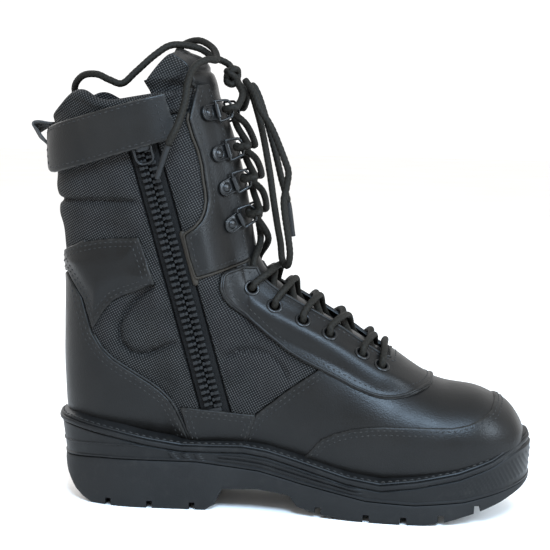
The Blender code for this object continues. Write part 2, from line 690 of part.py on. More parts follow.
def make_sole(insole):
    welt = lambda x: line_z(WELT_TOP, x)
    split = lambda x: line_z(SOLE_SPLIT, x)
    ground = lambda x: line_z(SOLE_BOTTOM, x)
    forefoot = lambda: smoothstep(PLAN[:, 0], 42, 56)
    tuck = 1.6 * (1 - smoothstep(PLAN[:, 0], -135, -95))
    rings = [
        sole_ring(-1.6 - tuck, lambda x: split(x) + 0.3),
        sole_ring(-1.0 - tuck, lambda x: split(x) + 2.0),
        sole_ring(-1.2 - tuck, lambda x: np.maximum(welt(x) - 7.5, split(x) + 3)),
        sole_ring(0.2, lambda x: np.maximum(welt(x) - 6.0, split(x) + 4)),
        sole_ring(0.8, lambda x: welt(x) - 3.2),
        sole_ring(0.2, lambda x: welt(x) - 1.0),
        sole_ring(-1.4, welt),
    ]
    midsole = loft_rings("midsole", "rubber", rings)
    last_rows = ROWS <= 12.01
    last = (POINTS + NORMALS * 2.2)[last_rows]
    count = last.shape[0]
    points = list(last.reshape(-1, 3))
    faces = []
    for i in range(count - 1):
        for j in range(COLUMNS):
            a, b = i * COLUMNS + j, i * COLUMNS + (j + 1) % COLUMNS
            c, d = a + COLUMNS, b + COLUMNS
            faces += [(a, b, d), (a, d, c)] if j < COLUMNS // 2 else [(a, b, c), (b, d, c)]
    toe = last[0].mean(axis=0)
    toe[0] = POINTS[0, :, 0].max() + 3.0
    points.append(toe)
    points.append(last[-1].mean(axis=0))
    faces += [(len(points) - 2, (j + 1) % COLUMNS, j) for j in range(COLUMNS)]
    base = (count - 1) * COLUMNS
    faces += [(len(points) - 1, base + j, base + (j + 1) % COLUMNS) for j in range(COLUMNS)]
    cutter = add_object("last_cutter", "board", points, faces)
    as_cutter(cutter)
    boolean(midsole, cutter, "DIFFERENCE")
    shank_x = np.linspace(-96, 6, 10)

    def strip(name, look, half, low, high, ends):
        corners = []
        xs = shank_x.copy()
        xs[0] -= ends
        xs[-1] += ends
        for x in xs:
            for y, h in ((-half, low), (half, low), (half, high), (-half, high)):
                corners.append((x, y, feather(x) + h))
        faces = [(0, 1, 2, 3), tuple(4 * (len(xs) - 1) + k for k in (3, 2, 1, 0))]
        for k in range(len(xs) - 1):
            for m in range(4):
                n = (m + 1) % 4
                faces.append((4 * k + m, 4 * k + 4 + m, 4 * k + 4 + n, 4 * k + n))
        return add_object(name, look, corners, faces, smooth=False)

    strip("shank", "steel", 5.5, -1.5, -0.3, 0.0)
    pocket = strip("shank_pocket", "steel", 5.8, -4.0, 0.0, 0.3)
    as_cutter(pocket)
    boolean(insole, pocket, "DIFFERENCE")

    step = 1.4 * forefoot()
    low_ring = [
        sole_ring(-2.4 - tuck, ground),
        sole_ring(-1.0 + step - tuck, lambda x: ground(x) + np.minimum(2.0, 0.3 * (split(x) - ground(x)))),
        sole_ring(-0.4 + step - tuck, lambda x: (ground(x) + split(x)) / 2),
        sole_ring(-0.9 + step - tuck, split),
    ]
    outsole = loft_rings("outsole", "rubber", low_ring)
    points, faces = [], []

    def slot(x0, x1, y0, y1, z1):
        base = len(points)
        points.extend((x, y, z) for x in (x0, x1) for y in (y0, y1) for z in (-6, z1))
        for f in ((0, 1, 3, 2), (4, 6, 7, 5), (0, 4, 5, 1), (2, 3, 7, 6), (0, 2, 6, 4), (1, 5, 7, 3)):
            faces.append([base + k for k in f])

    for x in HEEL_SLOTS + TREAD_SLOTS:
        slot(x - 2, x + 2, -70, 70, ground(x) + 5)
    across = add_object("tread_slots", "rubber", points, faces, smooth=False)
    as_cutter(across)
    points, faces = [], []
    slot(-143, -52.5, -3, 3, 5)
    slot(14, 128, -3, 3, 5.0)
    along = add_object("tread_channel", "rubber", points, faces, smooth=False)
    as_cutter(along)
    boolean(outsole, across, "DIFFERENCE")
    boolean(outsole, along, "DIFFERENCE")


# ---------------------------------------------------------------- zip
def make_zip():
    start, along, across, normal, length = zip_frame()
    axes = np.stack([along, across, normal], 1)

    def block(name, look, s, d, h, hide=False):
        size = (s[1] - s[0], d[1] - d[0], h[1] - h[0])
        centre = start + axes @ np.array([(s[0] + s[1]) / 2, (d[0] + d[1]) / 2, (h[0] + h[1]) / 2])
        made = box_object(name, size, centre, axes, hide)
        made.data.materials[0] = material(name, *LOOKS[look])
        return made

    for name, side in (("rear", -1), ("front", 1)):
        edges = sorted((side * 0.9, side * 8.4))
        block("zip_tape_" + name, "tape", (2.5, length + 9.5), edges, (-1.7, -0.9))
        pitch = 5.2
        count = 34
        first = length - 1.5 - count * pitch
        breaks = [first + (k + (0.5 if side > 0 else 0.0)) * pitch / 2 for k in range(2 * count - 1)]
        breaks[-1] = min(breaks[-1], length - 0.6)
        points, faces = [], []
        for h in (-0.6, 1.5):
            for k, s in enumerate(breaks):
                points += [(s, side * 5.3, h), (s, side * (0.9 if k % 2 == 0 else 3.0), h)]
        high = 2 * len(breaks)
        for a in range(0, high - 2, 2):
            faces.append((a, a + 2, a + 3, a + 1))
            faces.append((high + a, high + a + 2, high + a + 3, high + a + 1))
            faces.append((a, a + 2, high + a + 2, high + a))
            faces.append((a + 1, a + 3, high + a + 3, high + a + 1))
        faces.append((0, 1, high + 1, high))
        faces.append((high - 2, high - 1, 2 * high - 1, 2 * high - 2))
        world = [start + axes @ np.array(p) for p in points]
        add_object("zip_teeth_" + name, "moulded", world, faces, smooth=False)

    slider = block("zip_slider", "black_metal", (0.0, 15.0), (-6.4, 6.4), (1.8, 3.4))
    parts = (
        ((1.2, 5.5), (-0.6, 0.6), (-3.0, 2.2)),
        ((0.4, 13.5), (-4.6, 4.6), (-3.3, -2.3)),
        ((2.6, 4.0), (-1.3, 1.3), (3.0, 6.0)),
        ((9.0, 10.4), (-1.3, 1.3), (3.0, 6.0)),
        ((2.6, 10.4), (-1.3, 1.3), (5.6, 6.6)),
    )
    for k, (s, d, h) in enumerate(parts):
        tool = block(f"slider_part_{k}", "black_metal", s, d, h, hide=True)
        boolean(slider, tool, "UNION")
    pivot = start + axes @ np.array([6.5, 0, 4.5])
    outline = [(6.5, -4.6, 4.5), (6.5, 4.6, 4.5), (7.3, 5.4, 4.5), (15.5, 5.4, 4.5), (19.5, 5.2, 3.6),
               (22.0, 3.6, 3.1), (22.6, 0.0, 3.0), (22.0, -3.6, 3.1), (19.5, -5.2, 3.6), (15.5, -5.4, 4.5),
               (7.3, -5.4, 4.5)]
    route = [start + axes @ np.array(p) - pivot for p in outline]
    pull = tube("zip_pull", "black_metal", route, 1.5, closed=True, resolution=2)
    slider.data.transform(Matrix.Translation(-Vector(start * MM)))
    slider.location = Vector(start * MM)
    pull.location = Vector((pivot - start) * MM)
    pull.parent = slider
    return slider


# ---------------------------------------------------------------- strap over the zip top
def find_at(t, x):
    """Distance round from the front centre where the medial side passes x at station t."""
    i = int(round((t - FINE_T[0]) / (FINE_T[1] - FINE_T[0])))
    order = np.arange(FINE_V // 2, -1, -1)
    line = FINE_P[i, order, 0]
    return float(np.interp(-x, -line, FINE_ARC[i, order]))


def strap_sheet(low_t, high_t, arcs, inner, outer):
    """Points of a closed sheet over the medial side, one row per arc."""
    points = []
    for k, arc in enumerate(arcs):
        for t, share in ((low_t[k], 0.0), (0.67 * low_t[k] + 0.33 * high_t[k], 0.33),
                         (0.33 * low_t[k] + 0.67 * high_t[k], 0.67), (high_t[k], 1.0)):
            points.append([on_body(t, arc, -1, h)[0] for h in (inner[k], outer[k])])
    return np.array(points).reshape(len(arcs), 4, 2, 3)


def sheet_object(name, look, grid, origin=(0, 0, 0)):
    rows, columns = grid.shape[:2]
    points = grid.reshape(-1, 3)

    def at(i, j, k):
        return (i * columns + j) * 2 + k

    faces = []
    for i in range(rows - 1):
        for j in range(columns - 1):
            faces.append((at(i, j, 1), at(i + 1, j, 1), at(i + 1, j + 1, 1), at(i, j + 1, 1)))
            faces.append((at(i, j, 0), at(i, j + 1, 0), at(i + 1, j + 1, 0), at(i + 1, j, 0)))
    for i in range(rows - 1):
        for j in (0, columns - 1):
            faces.append((at(i, j, 0), at(i + 1, j, 0), at(i + 1, j, 1), at(i, j, 1)))
    for j in range(columns - 1):
        for i in (0, rows - 1):
            faces.append((at(i, j, 0), at(i, j + 1, 0), at(i, j + 1, 1), at(i, j, 1)))
    return add_object(name, look, points, faces, origin)


def make_strap():
    first = find_at(17.5, STRAP_FRONT)
    last = FINE_ARC[int(round((17.2 - 1.0) / 0.05)), 0] - 8.0
    arcs = np.concatenate([np.linspace(first, last - 14, 12), last - np.array([8.0, 3.5, 1.0, 0.0])])
    share = (arcs - first) / (last - first)
    low = 16.5 + 0.1 * share
    high = 18.45 - 0.55 * share
    round_off = np.concatenate([np.zeros(12), [0.06, 0.17, 0.32, 0.52]])
    low, high = low + round_off * 0.62, high - round_off * 0.62
    over_zip = find_at(17.0, -95.0)
    hump = 3.6 * np.exp(-(((arcs - over_zip) / 17.0) ** 4))
    inner = 3.6 + hump
    grid = strap_sheet(low, high, arcs, inner, inner + 2.0)
    pivot = grid[0, :, 0].mean(axis=0)
    sheet_object("strap", "leather", grid, pivot)
    axis = grid[0, 3, 0] - grid[0, 0, 0]
    patch_arcs = np.linspace(over_zip + 22, last - 10, 8)
    patch = strap_sheet(np.full(8, 16.75), np.full(8, 17.85), patch_arcs, np.full(8, 1.3), np.full(8, 2.3))
    sheet_object("strap_loop_patch", "tape", patch)
    return pivot, axis / np.linalg.norm(axis)


def make_pull_loop():
    outer = ((-156.6, 240.5), (-160.5, 240.0), (-171.0, 238.2), (-171.6, 236.2), (-158.6, 212.0),
             (-156.7, 209.5))
    inner = ((-156.9, 212.6), (-168.6, 236.4), (-160.5, 238.3), (-157.0, 238.8))
    profile = [(x, z) for x, z in outer + inner]
    axes = np.array([[1, 0, 0], [0, 0, 1], [0, 1, 0]], float)
    extrude("pull_loop", "tape", [(x - 1.4, z) for x, z in profile], 16.0, (0, 0, 0), axes)


# ---------------------------------------------------------------- eyelets, rings and lace
EYELET_PROFILE = (
    (3.1, -1.0), (3.45, -1.4), (5.0, -1.4), (5.0, -1.05), (3.6, -1.05),
    (3.6, 0.95), (5.3, 0.95), (4.9, 1.24), (3.4, 1.24), (3.1, 1.0),
)


def make_eyelets(eyestay):
    seats = []
    points, faces = [], []
    for k, (x, z) in enumerate(EYELETS):
        t = find_side(x, z, -1)[0]
        arc = float(lace_gap(t)) + EYELET_INSET
        for name, side in (("medial", -1), ("lateral", 1)):
            base = on_body(t, arc, side)
            axes = local_axes(t, arc, side)
            lift = eyestay_inner(None, t, arc)
            seat = base[0] + base[1] * (lift + 0.8)
            seats.append((k, side, t, arc, lift))
            revolve(f"eyelet_{name}_{k + 1}", "black_metal", EYELET_PROFILE, seat, axes, 10)
            base_index = len(points)
            sides = 8
            steps = ((5.9, -7), (5.9, -0.75), (4.0, -0.75), (4.0, 0.65), (5.9, 0.65), (5.9, 7))
            for radius, h in steps:
                for m in range(sides):
                    a = 2 * math.pi * m / sides
                    points.append(seat + axes @ np.array([radius * math.cos(a), radius * math.sin(a), h]))
            top = base_index + sides * (len(steps) - 1)
            faces.append([base_index + m for m in range(sides)][::-1])
            faces.append([top + m for m in range(sides)])
            for level in range(len(steps) - 1):
                low = base_index + sides * level
                for m in range(sides):
                    n = (m + 1) % sides
                    faces.append([low + m, low + n, low + sides + n, low + sides + m])
    holes = add_object("eyelet_holes", "leather", points, faces)
    as_cutter(holes)
    boolean(eyestay, holes, "DIFFERENCE")
    return seats


def clip_profile():
    """Side view of a folded clip: a flat plate that curls round the ring's bar."""
    outer = [(1.9 * math.cos(a), 1.9 + 1.9 * math.sin(a)) for a in np.radians(np.linspace(-90, 165, 7))]
    inner = [(1.1 * math.cos(a), 1.9 + 1.1 * math.sin(a)) for a in np.radians(np.linspace(165, -90, 7))]
    return [(-11.5, 0.0), *outer, *inner, (-11.5, 0.8)]


RING_REACH = 10.5
RING_TILT = math.radians(22)


def make_rings():
    rows = []
    for k, (x, z) in enumerate(CLIPS):
        t = find_side(x, z, -1)[0]
        arc = float(lace_gap(t)) + 5.5
        for name, side in (("medial", -1), ("lateral", 1)):
            axes = local_axes(t, arc, side)
            foot = on_body(t, arc, side, OVERLAY[1] + 0.9)[0]
            frame = np.stack([axes[:, 0], axes[:, 2], axes[:, 1]], 1)
            clip = extrude(f"clip_{name}_{k + 1}", "black_metal", clip_profile(), 8.5, foot, frame)
            clip.data.polygons.foreach_set("use_smooth", [False] * len(clip.data.polygons))
            pivot = foot + axes[:, 2] * 1.9
            ahead = axes[:, 0] * math.cos(RING_TILT) + axes[:, 2] * math.sin(RING_TILT)
            up = axes[:, 1]
            shape = [(0, -5.6), (0, 5.6), (0.9, 6.4)]
            for a in np.radians(np.linspace(60, -60, 6)):
                shape.append((RING_REACH - 5.2 + 5.2 * math.cos(a), 6.27 * math.sin(a)))
            shape.append((0.9, -6.4))
            ring = tube(f"ring_{name}_{k + 1}", "black_metal", [ahead * u + up * w for u, w in shape], 1.6,
                        closed=True, resolution=1)
            ring.location = Vector(pivot * MM)
            rows.append((k, side, t, pivot, ahead, up, axes))
    return rows


def make_lace(seats, rings):
    """The laced run: bar under the lowest eyelets, crossings between rows, then the knot at the top."""
    turn = 3.7
    ring_turn = 4.6
    seat = {(k, side): (t, arc, lift) for k, side, t, arc, lift in seats}
    ring = {(k, side): (t, pivot, ahead, up, axes) for k, side, t, pivot, ahead, up, axes in rings}

    def through_eyelet(k, side):
        t, arc, lift = seat[(k, side)]
        axes = local_axes(t, arc, side)
        middle = on_body(t, arc, side, lift + 0.8)[0] + axes[:, 0] * turn
        angles = np.radians((90, 48, 14, -14, -48, -90))
        back, out = axes[:, 0] * turn, axes[:, 2] * turn
        return [middle - back * math.cos(a) + out * math.sin(a) for a in angles]

    def through_ring(k, side):
        t, pivot, ahead, up, axes = ring[(k, side)]
        bow = pivot + ahead * RING_REACH
        angles = np.radians((-90, -48, -14, 14, 48, 90))
        back, out = axes[:, 0] * ring_turn, axes[:, 2] * ring_turn
        return [bow - back * math.cos(a) + out * math.sin(a) for a in angles]

    def hole(row, side):
        return through_eyelet(row, side) if row < 6 else through_ring(row - 6, side)

    def station(row):
        return seat[(row, 1)][0] if row < 6 else ring[(row - 6, 1)][0]

    def half(side, high_first):
        route = []
        here = side
        for row in range(10):
            route += hole(row, here)
            if row == 9:
                break
            t, above = station(row), station(row + 1)
            high = (row % 2 == 0) == high_first
            gap = float(lace_gap(t))
            across = 2 * (gap + EYELET_INSET)
            if row < 6:
                part = (EYELET_INSET + 2.0) / across
                route.append(on_body(t + (above - t) * part, gap - 2.0, here, 3.2)[0])
            level = (8.6, 9.4)[row > 5] if high else (3.6, 3.9)[row > 5]
            route.append(on_body((t + above) / 2, 0.0, 1, level)[0])
            if row < 5:
                part = (2 * gap + EYELET_INSET - 1.5) / across
                route.append(on_body(t + (above - t) * part, gap - 1.5, -here, 10.1)[0])
            here = -here
        return route

    left = half(1, True)
    right = half(-1, False)
    t0 = station(0)
    bar = [on_body(t0, a, side, h)[0] for side, a, h in ((1, 16.0, 10.1), (1, 0.0, 8.6), (-1, 16.0, 10.1))]
    knot = np.array([-43.5, 0.0, 273.0])
    ends = []
    for route in (left, right):
        last = route[-1]
        ends.append([last + (knot - last) * 0.45 + np.array([4.5, 0, 0]), knot])
    whole = ends[0][::-1] + left[::-1] + bar + right + ends[1]
    lace = sweep("lace", "lace", whole, LACE_D)
    lump = ball("lace_knot", "lace", knot, (7.0, 8.0, 6.5))
    as_cutter(lump)
    boolean(lace, lump, "UNION")


LACE_FRONT = (
    (-34.7, -4.5, 270.5), (-28.0, -12, 262), (-24.0, -16, 253), (-17.5, -18, 243.5),
    (-13.0, -18, 234.5), (-7.0, -18, 220), (-5.0, -17, 213), (-6.0, -17, 204), (-7.5, -17, 196),
    (-6.5, -17, 186), (-3.8, -17, 170), (-3.0, -16, 161), (-4.8, -12, 154.2), (-8.5, -7, 157.5),
    (-10.0, -5, 168), (-12.0, -5, 178), (-15.0, -6, 195.5), (-18.0, -6, 214), (-23.0, -5, 238),
    (-28.5, -1, 256), (-31.8, 2.5, 264), (-30.7, 6.4, 267.5), (-26.5, 6, 260), (-20.5, 3, 243),
    (-15.0, 1, 225), (-10.5, 0, 208), (-6.0, 0, 193), (-2.5, 0, 172),
)
LACE_REAR = (
    (-44.0, 9.6, 277.0), (-48.0, 9.0, 284.0), (-57.0, 4, 291), (-66.0, -2, 296.5),
    (-82.0, -12, 297.5), (-91.0, -18, 290), (-101.0, -24, 274), (-109.0, -27, 266.5),
    (-117.0, -27, 268.5), (-126.0, -24, 272.0), (-136.5, -17, 271.0), (-143.5, -8, 264.0),
    (-143.0, 2, 254), (-137.0, 9, 243), (-122.0, 13, 237), (-104.0, 14, 240), (-92.0, 13, 252),
    (-86.0, 12, 270), (-82.0, 11, 288), (-77.0, 9, 299), (-66.0, 5, 301.5), (-54.5, -4, 294),
    (-50.5, -17, 284), (-56.0, -26.5, 282.0), (-62.5, -34, 277.5), (-65.5, -42, 268),
    (-66.5, -49, 254), (-69.5, -56.5, 241), (-74.5, -57.5, 230), (-82.0, -52.5, 209),
)


def make_all():
    clear_scene()
    eyestay, insole = make_upper()
    make_sole(insole)
    make_zip()
    make_strap()
    make_pull_loop()
    seats = make_eyelets(eyestay)
    rings = make_rings()
    make_lace(seats, rings)
    tube("lace_front", "lace", smooth_route(LACE_FRONT, 9.5), LACE_D)
    tube("lace_rear", "lace", smooth_route(LACE_REAR, 10.0), LACE_D)
    for made in bpy.context.scene.objects:
        if made.parent is None:
            made.location += Vector(CENTRE) * MM


make_all()
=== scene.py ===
"""Side-zip duty boot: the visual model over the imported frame, with its materials, light and camera."""

import math

import bmesh
import bpy
import numpy as np
from mathutils import Matrix, Vector


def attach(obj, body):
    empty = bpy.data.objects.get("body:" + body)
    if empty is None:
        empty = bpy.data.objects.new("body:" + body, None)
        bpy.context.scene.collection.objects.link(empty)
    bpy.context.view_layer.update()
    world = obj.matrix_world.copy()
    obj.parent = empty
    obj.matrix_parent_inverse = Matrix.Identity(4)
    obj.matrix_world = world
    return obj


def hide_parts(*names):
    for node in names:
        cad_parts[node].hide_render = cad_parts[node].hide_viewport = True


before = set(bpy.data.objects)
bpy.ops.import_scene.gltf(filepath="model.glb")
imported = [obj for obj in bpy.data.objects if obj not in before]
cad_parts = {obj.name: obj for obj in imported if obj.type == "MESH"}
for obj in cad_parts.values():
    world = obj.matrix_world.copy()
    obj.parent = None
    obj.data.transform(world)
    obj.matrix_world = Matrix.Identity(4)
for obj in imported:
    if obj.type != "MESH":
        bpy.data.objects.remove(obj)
bpy.context.scene.view_settings.view_transform = "Standard"
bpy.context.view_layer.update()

MM = 0.001
# The body's sections, outlines and routes below are in mm about their own origin: world = those + CENTRE.
CENTRE = np.array((9.5, -1.15, 0.0))
SIDES = (("medial", -1), ("lateral", 1))


# ---------------------------------------------------------------- camera
def make_camera():
    """The photograph's view: a little from the toe's side and from above, 900 mm away."""
    azimuth, elevation, roll = math.radians(5.0), math.radians(6.0), math.radians(1.236)
    distance, view_width = 900.0, 354.12575
    target = np.array((-13.55, 0.0, 146.8)) + CENTRE
    back = np.array((math.sin(azimuth) * math.cos(elevation), -math.cos(azimuth) * math.cos(elevation),
                     math.sin(elevation)))
    right = np.array((math.cos(azimuth), math.sin(azimuth), 0.0))
    up = np.cross(back, right)
    right, up = (math.cos(roll) * right + math.sin(roll) * up, -math.sin(roll) * right + math.cos(roll) * up)
    data = bpy.data.cameras.new("camera")
    data.sensor_width = 36.0
    data.lens = data.sensor_width * distance / view_width
    data.clip_start = 0.05
    camera = bpy.data.objects.new("camera", data)
    place = Matrix.Identity(4)
    for k, column in enumerate((right, up, back)):
        for r in range(3):
            place[r][k] = column[r]
    for r, value in enumerate((target + back * distance) * MM):
        place[r][3] = value
    camera.matrix_world = place
    bpy.context.scene.collection.objects.link(camera)
    bpy.context.scene.camera = camera


make_camera()

# ---------------------------------------------------------------- dimensions (mm), as in the frame
# Each station's section: rear x and z, front x and z, medial and lateral half width, where along it the
# section is widest, and the roundness of its rear and front halves.
SECTIONS = (
    (147.0, 45.0, 147.0, 50.0, 1.0, 1.0, 0.50, 2.0, 2.0),
    (144.5, 36.5, 143.0, 60.0, 21.0, 19.0, 0.48, 2.6, 2.2),
    (136.0, 30.0, 134.5, 70.0, 33.0, 29.5, 0.44, 3.0, 2.2),
    (120.0, 25.0, 118.0, 78.5, 42.5, 39.0, 0.42, 3.2, 2.2),
    (95.0, 20.0, 92.0, 83.0, 47.0, 46.5, 0.40, 3.4, 2.1),
    (64.0, 17.0, 60.0, 97.0, 46.5, 49.5, 0.36, 3.4, 2.1),
    (32.0, 19.0, 28.0, 120.0, 42.0, 48.0, 0.33, 3.4, 2.1),
    (0.0, 26.0, 2.0, 137.0, 37.0, 43.0, 0.32, 3.3, 2.1),
    (-42.0, 33.0, -10.0, 146.0, 34.5, 38.0, 0.33, 3.1, 2.1),
    (-86.0, 36.0, -18.0, 154.5, 34.0, 36.0, 0.36, 2.9, 2.1),
    (-125.0, 37.0, -22.0, 163.0, 34.5, 35.5, 0.40, 2.6, 2.1),
    (-143.5, 48.0, -24.5, 173.0, 34.5, 36.0, 0.44, 2.3, 2.1),
    (-148.0, 80.0, -26.5, 185.0, 35.5, 37.0, 0.46, 2.2, 2.1),
    (-148.5, 112.0, -29.0, 198.0, 36.5, 38.0, 0.48, 2.2, 2.1),
    (-148.5, 140.0, -32.0, 212.0, 37.0, 38.5, 0.50, 2.2, 2.1),
    (-150.5, 168.0, -35.5, 225.0, 38.0, 39.5, 0.50, 2.2, 2.1),
    (-153.5, 194.0, -39.5, 238.0, 40.0, 41.0, 0.50, 2.2, 2.1),
    (-156.0, 218.0, -44.0, 250.0, 42.0, 42.5, 0.50, 2.2, 2.1),
    (-156.0, 238.0, -48.5, 261.0, 43.0, 43.5, 0.50, 2.2, 2.1),
    (-153.5, 254.0, -53.5, 272.0, 43.5, 44.0, 0.50, 2.2, 2.1),
    (-150.0, 270.0, -61.0, 284.0, 43.0, 43.5, 0.50, 2.2, 2.1),
    (-146.0, 286.0, -74.0, 293.0, 42.0, 42.5, 0.50, 2.2, 2.1),
)
THROAT = 4.75
WELT_TOP = (
    (-160, 56), (-140, 55.2), (-128, 53.2), (-110, 50.2), (-87, 45.8), (-67, 43), (-48, 43), (-28, 43.5),
    (-13, 41.5), (8, 36.2), (38, 28.5), (58, 26), (80, 29), (106, 34.5), (127, 42), (143, 50.5), (160, 55),
)
SOLE_SPLIT = (
    (-160, 27.5), (-150, 28), (-140, 29), (-120, 30.5), (-100, 31), (-57, 31), (-38, 29), (-18, 27), (8, 21),
    (49, 13.5), (80, 12.5), (110, 15), (140, 22), (160, 27),
)
SOLE_BOTTOM = (
    (-156, 24), (-150.5, 19.5), (-147, 14), (-140, 6.3), (-134, 2.6), (-128, 0), (-52, 0), (-46, 4), (-41, 14),
    (-18, 15), (1, 12.5), (6, 6), (20, 2), (40, 0), (86, 0), (100, 2.5), (118, 8), (134, 14), (147, 20),
    (156, 25),
)
SOLE_PLAN = (
    (153, 0), (149.5, 16), (140, 29), (124, 40.5), (95, 50.5), (62, 54.5), (28, 52.5), (0, 48), (-30, 44),
    (-65, 41), (-100, 40.5), (-128, 34.6), (-145, 21.5), (-152, 0), (-145, -21.5), (-128, -33.6),
    (-100, -39.5), (-65, -39), (-30, -39), (0, -41.5), (28, -46.5), (62, -51.5), (95, -51), (124, -44.5),
    (140, -33),
    (149.5, -18),
)
VAMP_REAR = ((40, 130), (17.5, 92), (0, 79.5), (-20, 63), (-31, 46), (-36, 20), (200, 20), (200, 130))
CAP_SEAM = (
    (2, 10), (11, 38), (20.5, 49.5), (30, 54.5), (40, 57.5), (50, 59.2), (60, 60), (101, 60), (111, 61.8),
    (119, 65), (125, 69), (128, 73.5), (131, 95), (200, 95), (200, 10),
)
COUNTER = (
    (-175, 157.5), (-150, 157.5), (-139.5, 155.5), (-133.2, 130), (-126.5, 110), (-120, 101), (-112, 94),
    (-97, 85), (-88, 79.5), (-81, 74.5), (-75.5, 69.5), (-71, 63), (-66.5, 54), (-63, 45), (-60, 20),
    (-175, 20),
)
ANKLE_PATCH = (
    (-149, 152), (-149, 160), (-143, 163.3), (-137, 165.5), (-129, 167.8), (-121, 169.5), (-110, 170.8),
    (-100, 171.5), (-95, 172), (-84, 142), (-91, 140.3), (-98, 137.5), (-106, 134.6), (-112, 131), (-118, 124),
    (-123, 116), (-125.5, 112), (-132.2, 131),
)
LOWER_PATCH = ((-68, 66), (-20, 62.5), (-34, 20), (-59, 20), (-61.8, 45))
FACING = (
    (-64, 300), (-63, 266), (-66, 245), (-63, 235), (-59.5, 226), (-57.3, 217), (-56, 208), (-54.6, 201),
    (-54, 195), (-54.6, 188.5), (-56.5, 183), (-60.3, 178), (-66, 174), (-62.5, 160), (-58.5, 148.5),
    (-45, 152.5), (-36, 155.2), (-31.5, 157), (-28.2, 159.5), (-26, 163), (30, 168), (30, 300),
)
EYESTAY = (
    (-45, 148), (-43.8, 150.2), (-42, 151.5), (-36, 153.5), (-26, 152), (-14, 150.5), (20, 165), (95, 130),
    (92.6, 90), (91, 85.5), (88.5, 82.3), (86, 80.6), (80, 78.2), (73, 76.3), (66, 75.5), (60, 75.5),
    (54.5, 76.3), (49, 78), (40, 81.5), (31, 86), (17, 92.5), (7, 97), (-2, 102), (-16, 112), (-31, 123.5),
    (-38.5, 129.5), (-43, 135), (-45.2, 141),
)
EYELETS = ((55, 89.6), (40.5, 97.7), (22, 107.9), (5.4, 116.2), (-12.7, 126.9), (-29.1, 136.9))
EYELET_INSET = 13.0
CLIPS = ((-40.5, 180.5), (-42.5, 204), (-46, 226), (-51, 250))
LACE_GAP = ((0, 12), (4.6, 12), (5.2, 17), (7, 18), (9, 18), (11, 16), (13, 16), (21, 17))
TONGUE_EDGE = 13.0
TONGUE_STRIP = 14.7
LACE_D = 4.5
STRAP_FRONT = -77.0
ZIP_TOP = (-96.0, 239.5)
ZIP_END = (-46.5, 66.0)
ZIP_Y = (-43.5, -37.8)
ZIP_FLAT = 15.0
CLIP_INSET = 5.5
CLIP_LIFT = 2.8
BAR_HEIGHT = 1.9
RING_REACH = 10.5
RING_TILT = math.radians(22)

# Heights (mm) of the upper's layers off the body surface, inner and outer face.
TEXTILE = (-1.8, -0.5)
VAMP_LAYER = (-1.8, 0.7)
OVER = (-0.45, 1.2)
CAP_LAYER = (0.75, 2.1)

# Sewn channels of the textile, in mm as side-view (x, z) lines, each with its depth.
CHANNELS = (
    (((-160, 192.5), (-143, 192.8), (-110, 193.4), (-90, 194.0)), 2.8),
    (((-87, 141), (-97, 133), (-104.5, 124), (-108.5, 115), (-107.5, 105.5), (-101, 99), (-93, 97.8),
      (-84, 101), (-73, 106)), 2.8),
    (((-47.5, 92), (-40, 98), (-31, 102.5), (-22, 103), (-13, 100.5), (-5, 93), (1, 80)), 2.4),
)


# ---------------------------------------------------------------- body surface
def smoothstep(value, low, high):
    share = np.clip((np.asarray(value, float) - low) / (high - low), 0.0, 1.0)
    return share * share * (3.0 - 2.0 * share)


def unit(vectors):
    """The vectors of the last axis at length 1."""
    return vectors / np.linalg.norm(vectors, axis=-1, keepdims=True)


def run_of(points):
    """Distance run along a line of points."""
    return np.concatenate([[0], np.cumsum(np.linalg.norm(np.diff(points, axis=0), axis=1))])


def catmull(a, b, c, d, u):
    return 0.5 * (2 * b + (c - a) * u + (2 * a - 5 * b + 4 * c - d) * u**2 + (3 * b - a - 3 * c + d) * u**3)


def sections_at(t):
    table = np.array(SECTIONS)
    table = np.vstack([2 * table[0] - table[1], table, 2 * table[-1] - table[-2]])
    base = np.clip(np.floor(t).astype(int), 0, len(SECTIONS) - 2)
    u = (t - base)[:, None]
    return catmull(table[base], table[base + 1], table[base + 2], table[base + 3], u)


def zip_frame():
    """Start, unit direction down the zip, unit vector across it towards the toe, outward normal, length."""
    start = np.array([ZIP_TOP[0], ZIP_Y[0], ZIP_TOP[1]])
    end = np.array([ZIP_END[0], ZIP_Y[1], ZIP_END[1]])
    length = np.linalg.norm(end - start)
    along = (end - start) / length
    across = unit(np.cross(along, (0.0, -1.0, 0.0)))
    across *= np.sign(across[0])
    normal = np.cross(across, along)
    normal *= -np.sign(normal[1])
    return start, along, across, normal, length


ZIP_START, ZIP_ALONG, ZIP_ACROSS, ZIP_NORMAL, ZIP_LENGTH = zip_frame()


def flatten_for_zip(points):
    """Presses the medial side flat along the zip."""
    rel = points - ZIP_START
    s, d, height = rel @ ZIP_ALONG, rel @ ZIP_ACROSS, rel @ ZIP_NORMAL
    weight = 1 - smoothstep(np.abs(d), ZIP_FLAT, ZIP_FLAT + 20)
    weight *= smoothstep(s, -42, -14) * (1 - smoothstep(s, ZIP_LENGTH + 6, ZIP_LENGTH + 34))
    weight *= points[..., 1] < 0
    return points - (height * weight)[..., None] * ZIP_NORMAL


def grid_normals(points):
    along = np.gradient(points, axis=0)
    round_it = np.roll(points, -1, 1) - np.roll(points, 1, 1)
    normals = np.cross(round_it, along)
    normals = normals / np.maximum(np.linalg.norm(normals, axis=2, keepdims=True), 1e-9)
    outward = points - points.mean(axis=1, keepdims=True)
    flip = np.sign((normals * outward).sum(axis=2).mean(axis=1))
    return normals * np.where(flip == 0, 1, flip)[:, None, None]


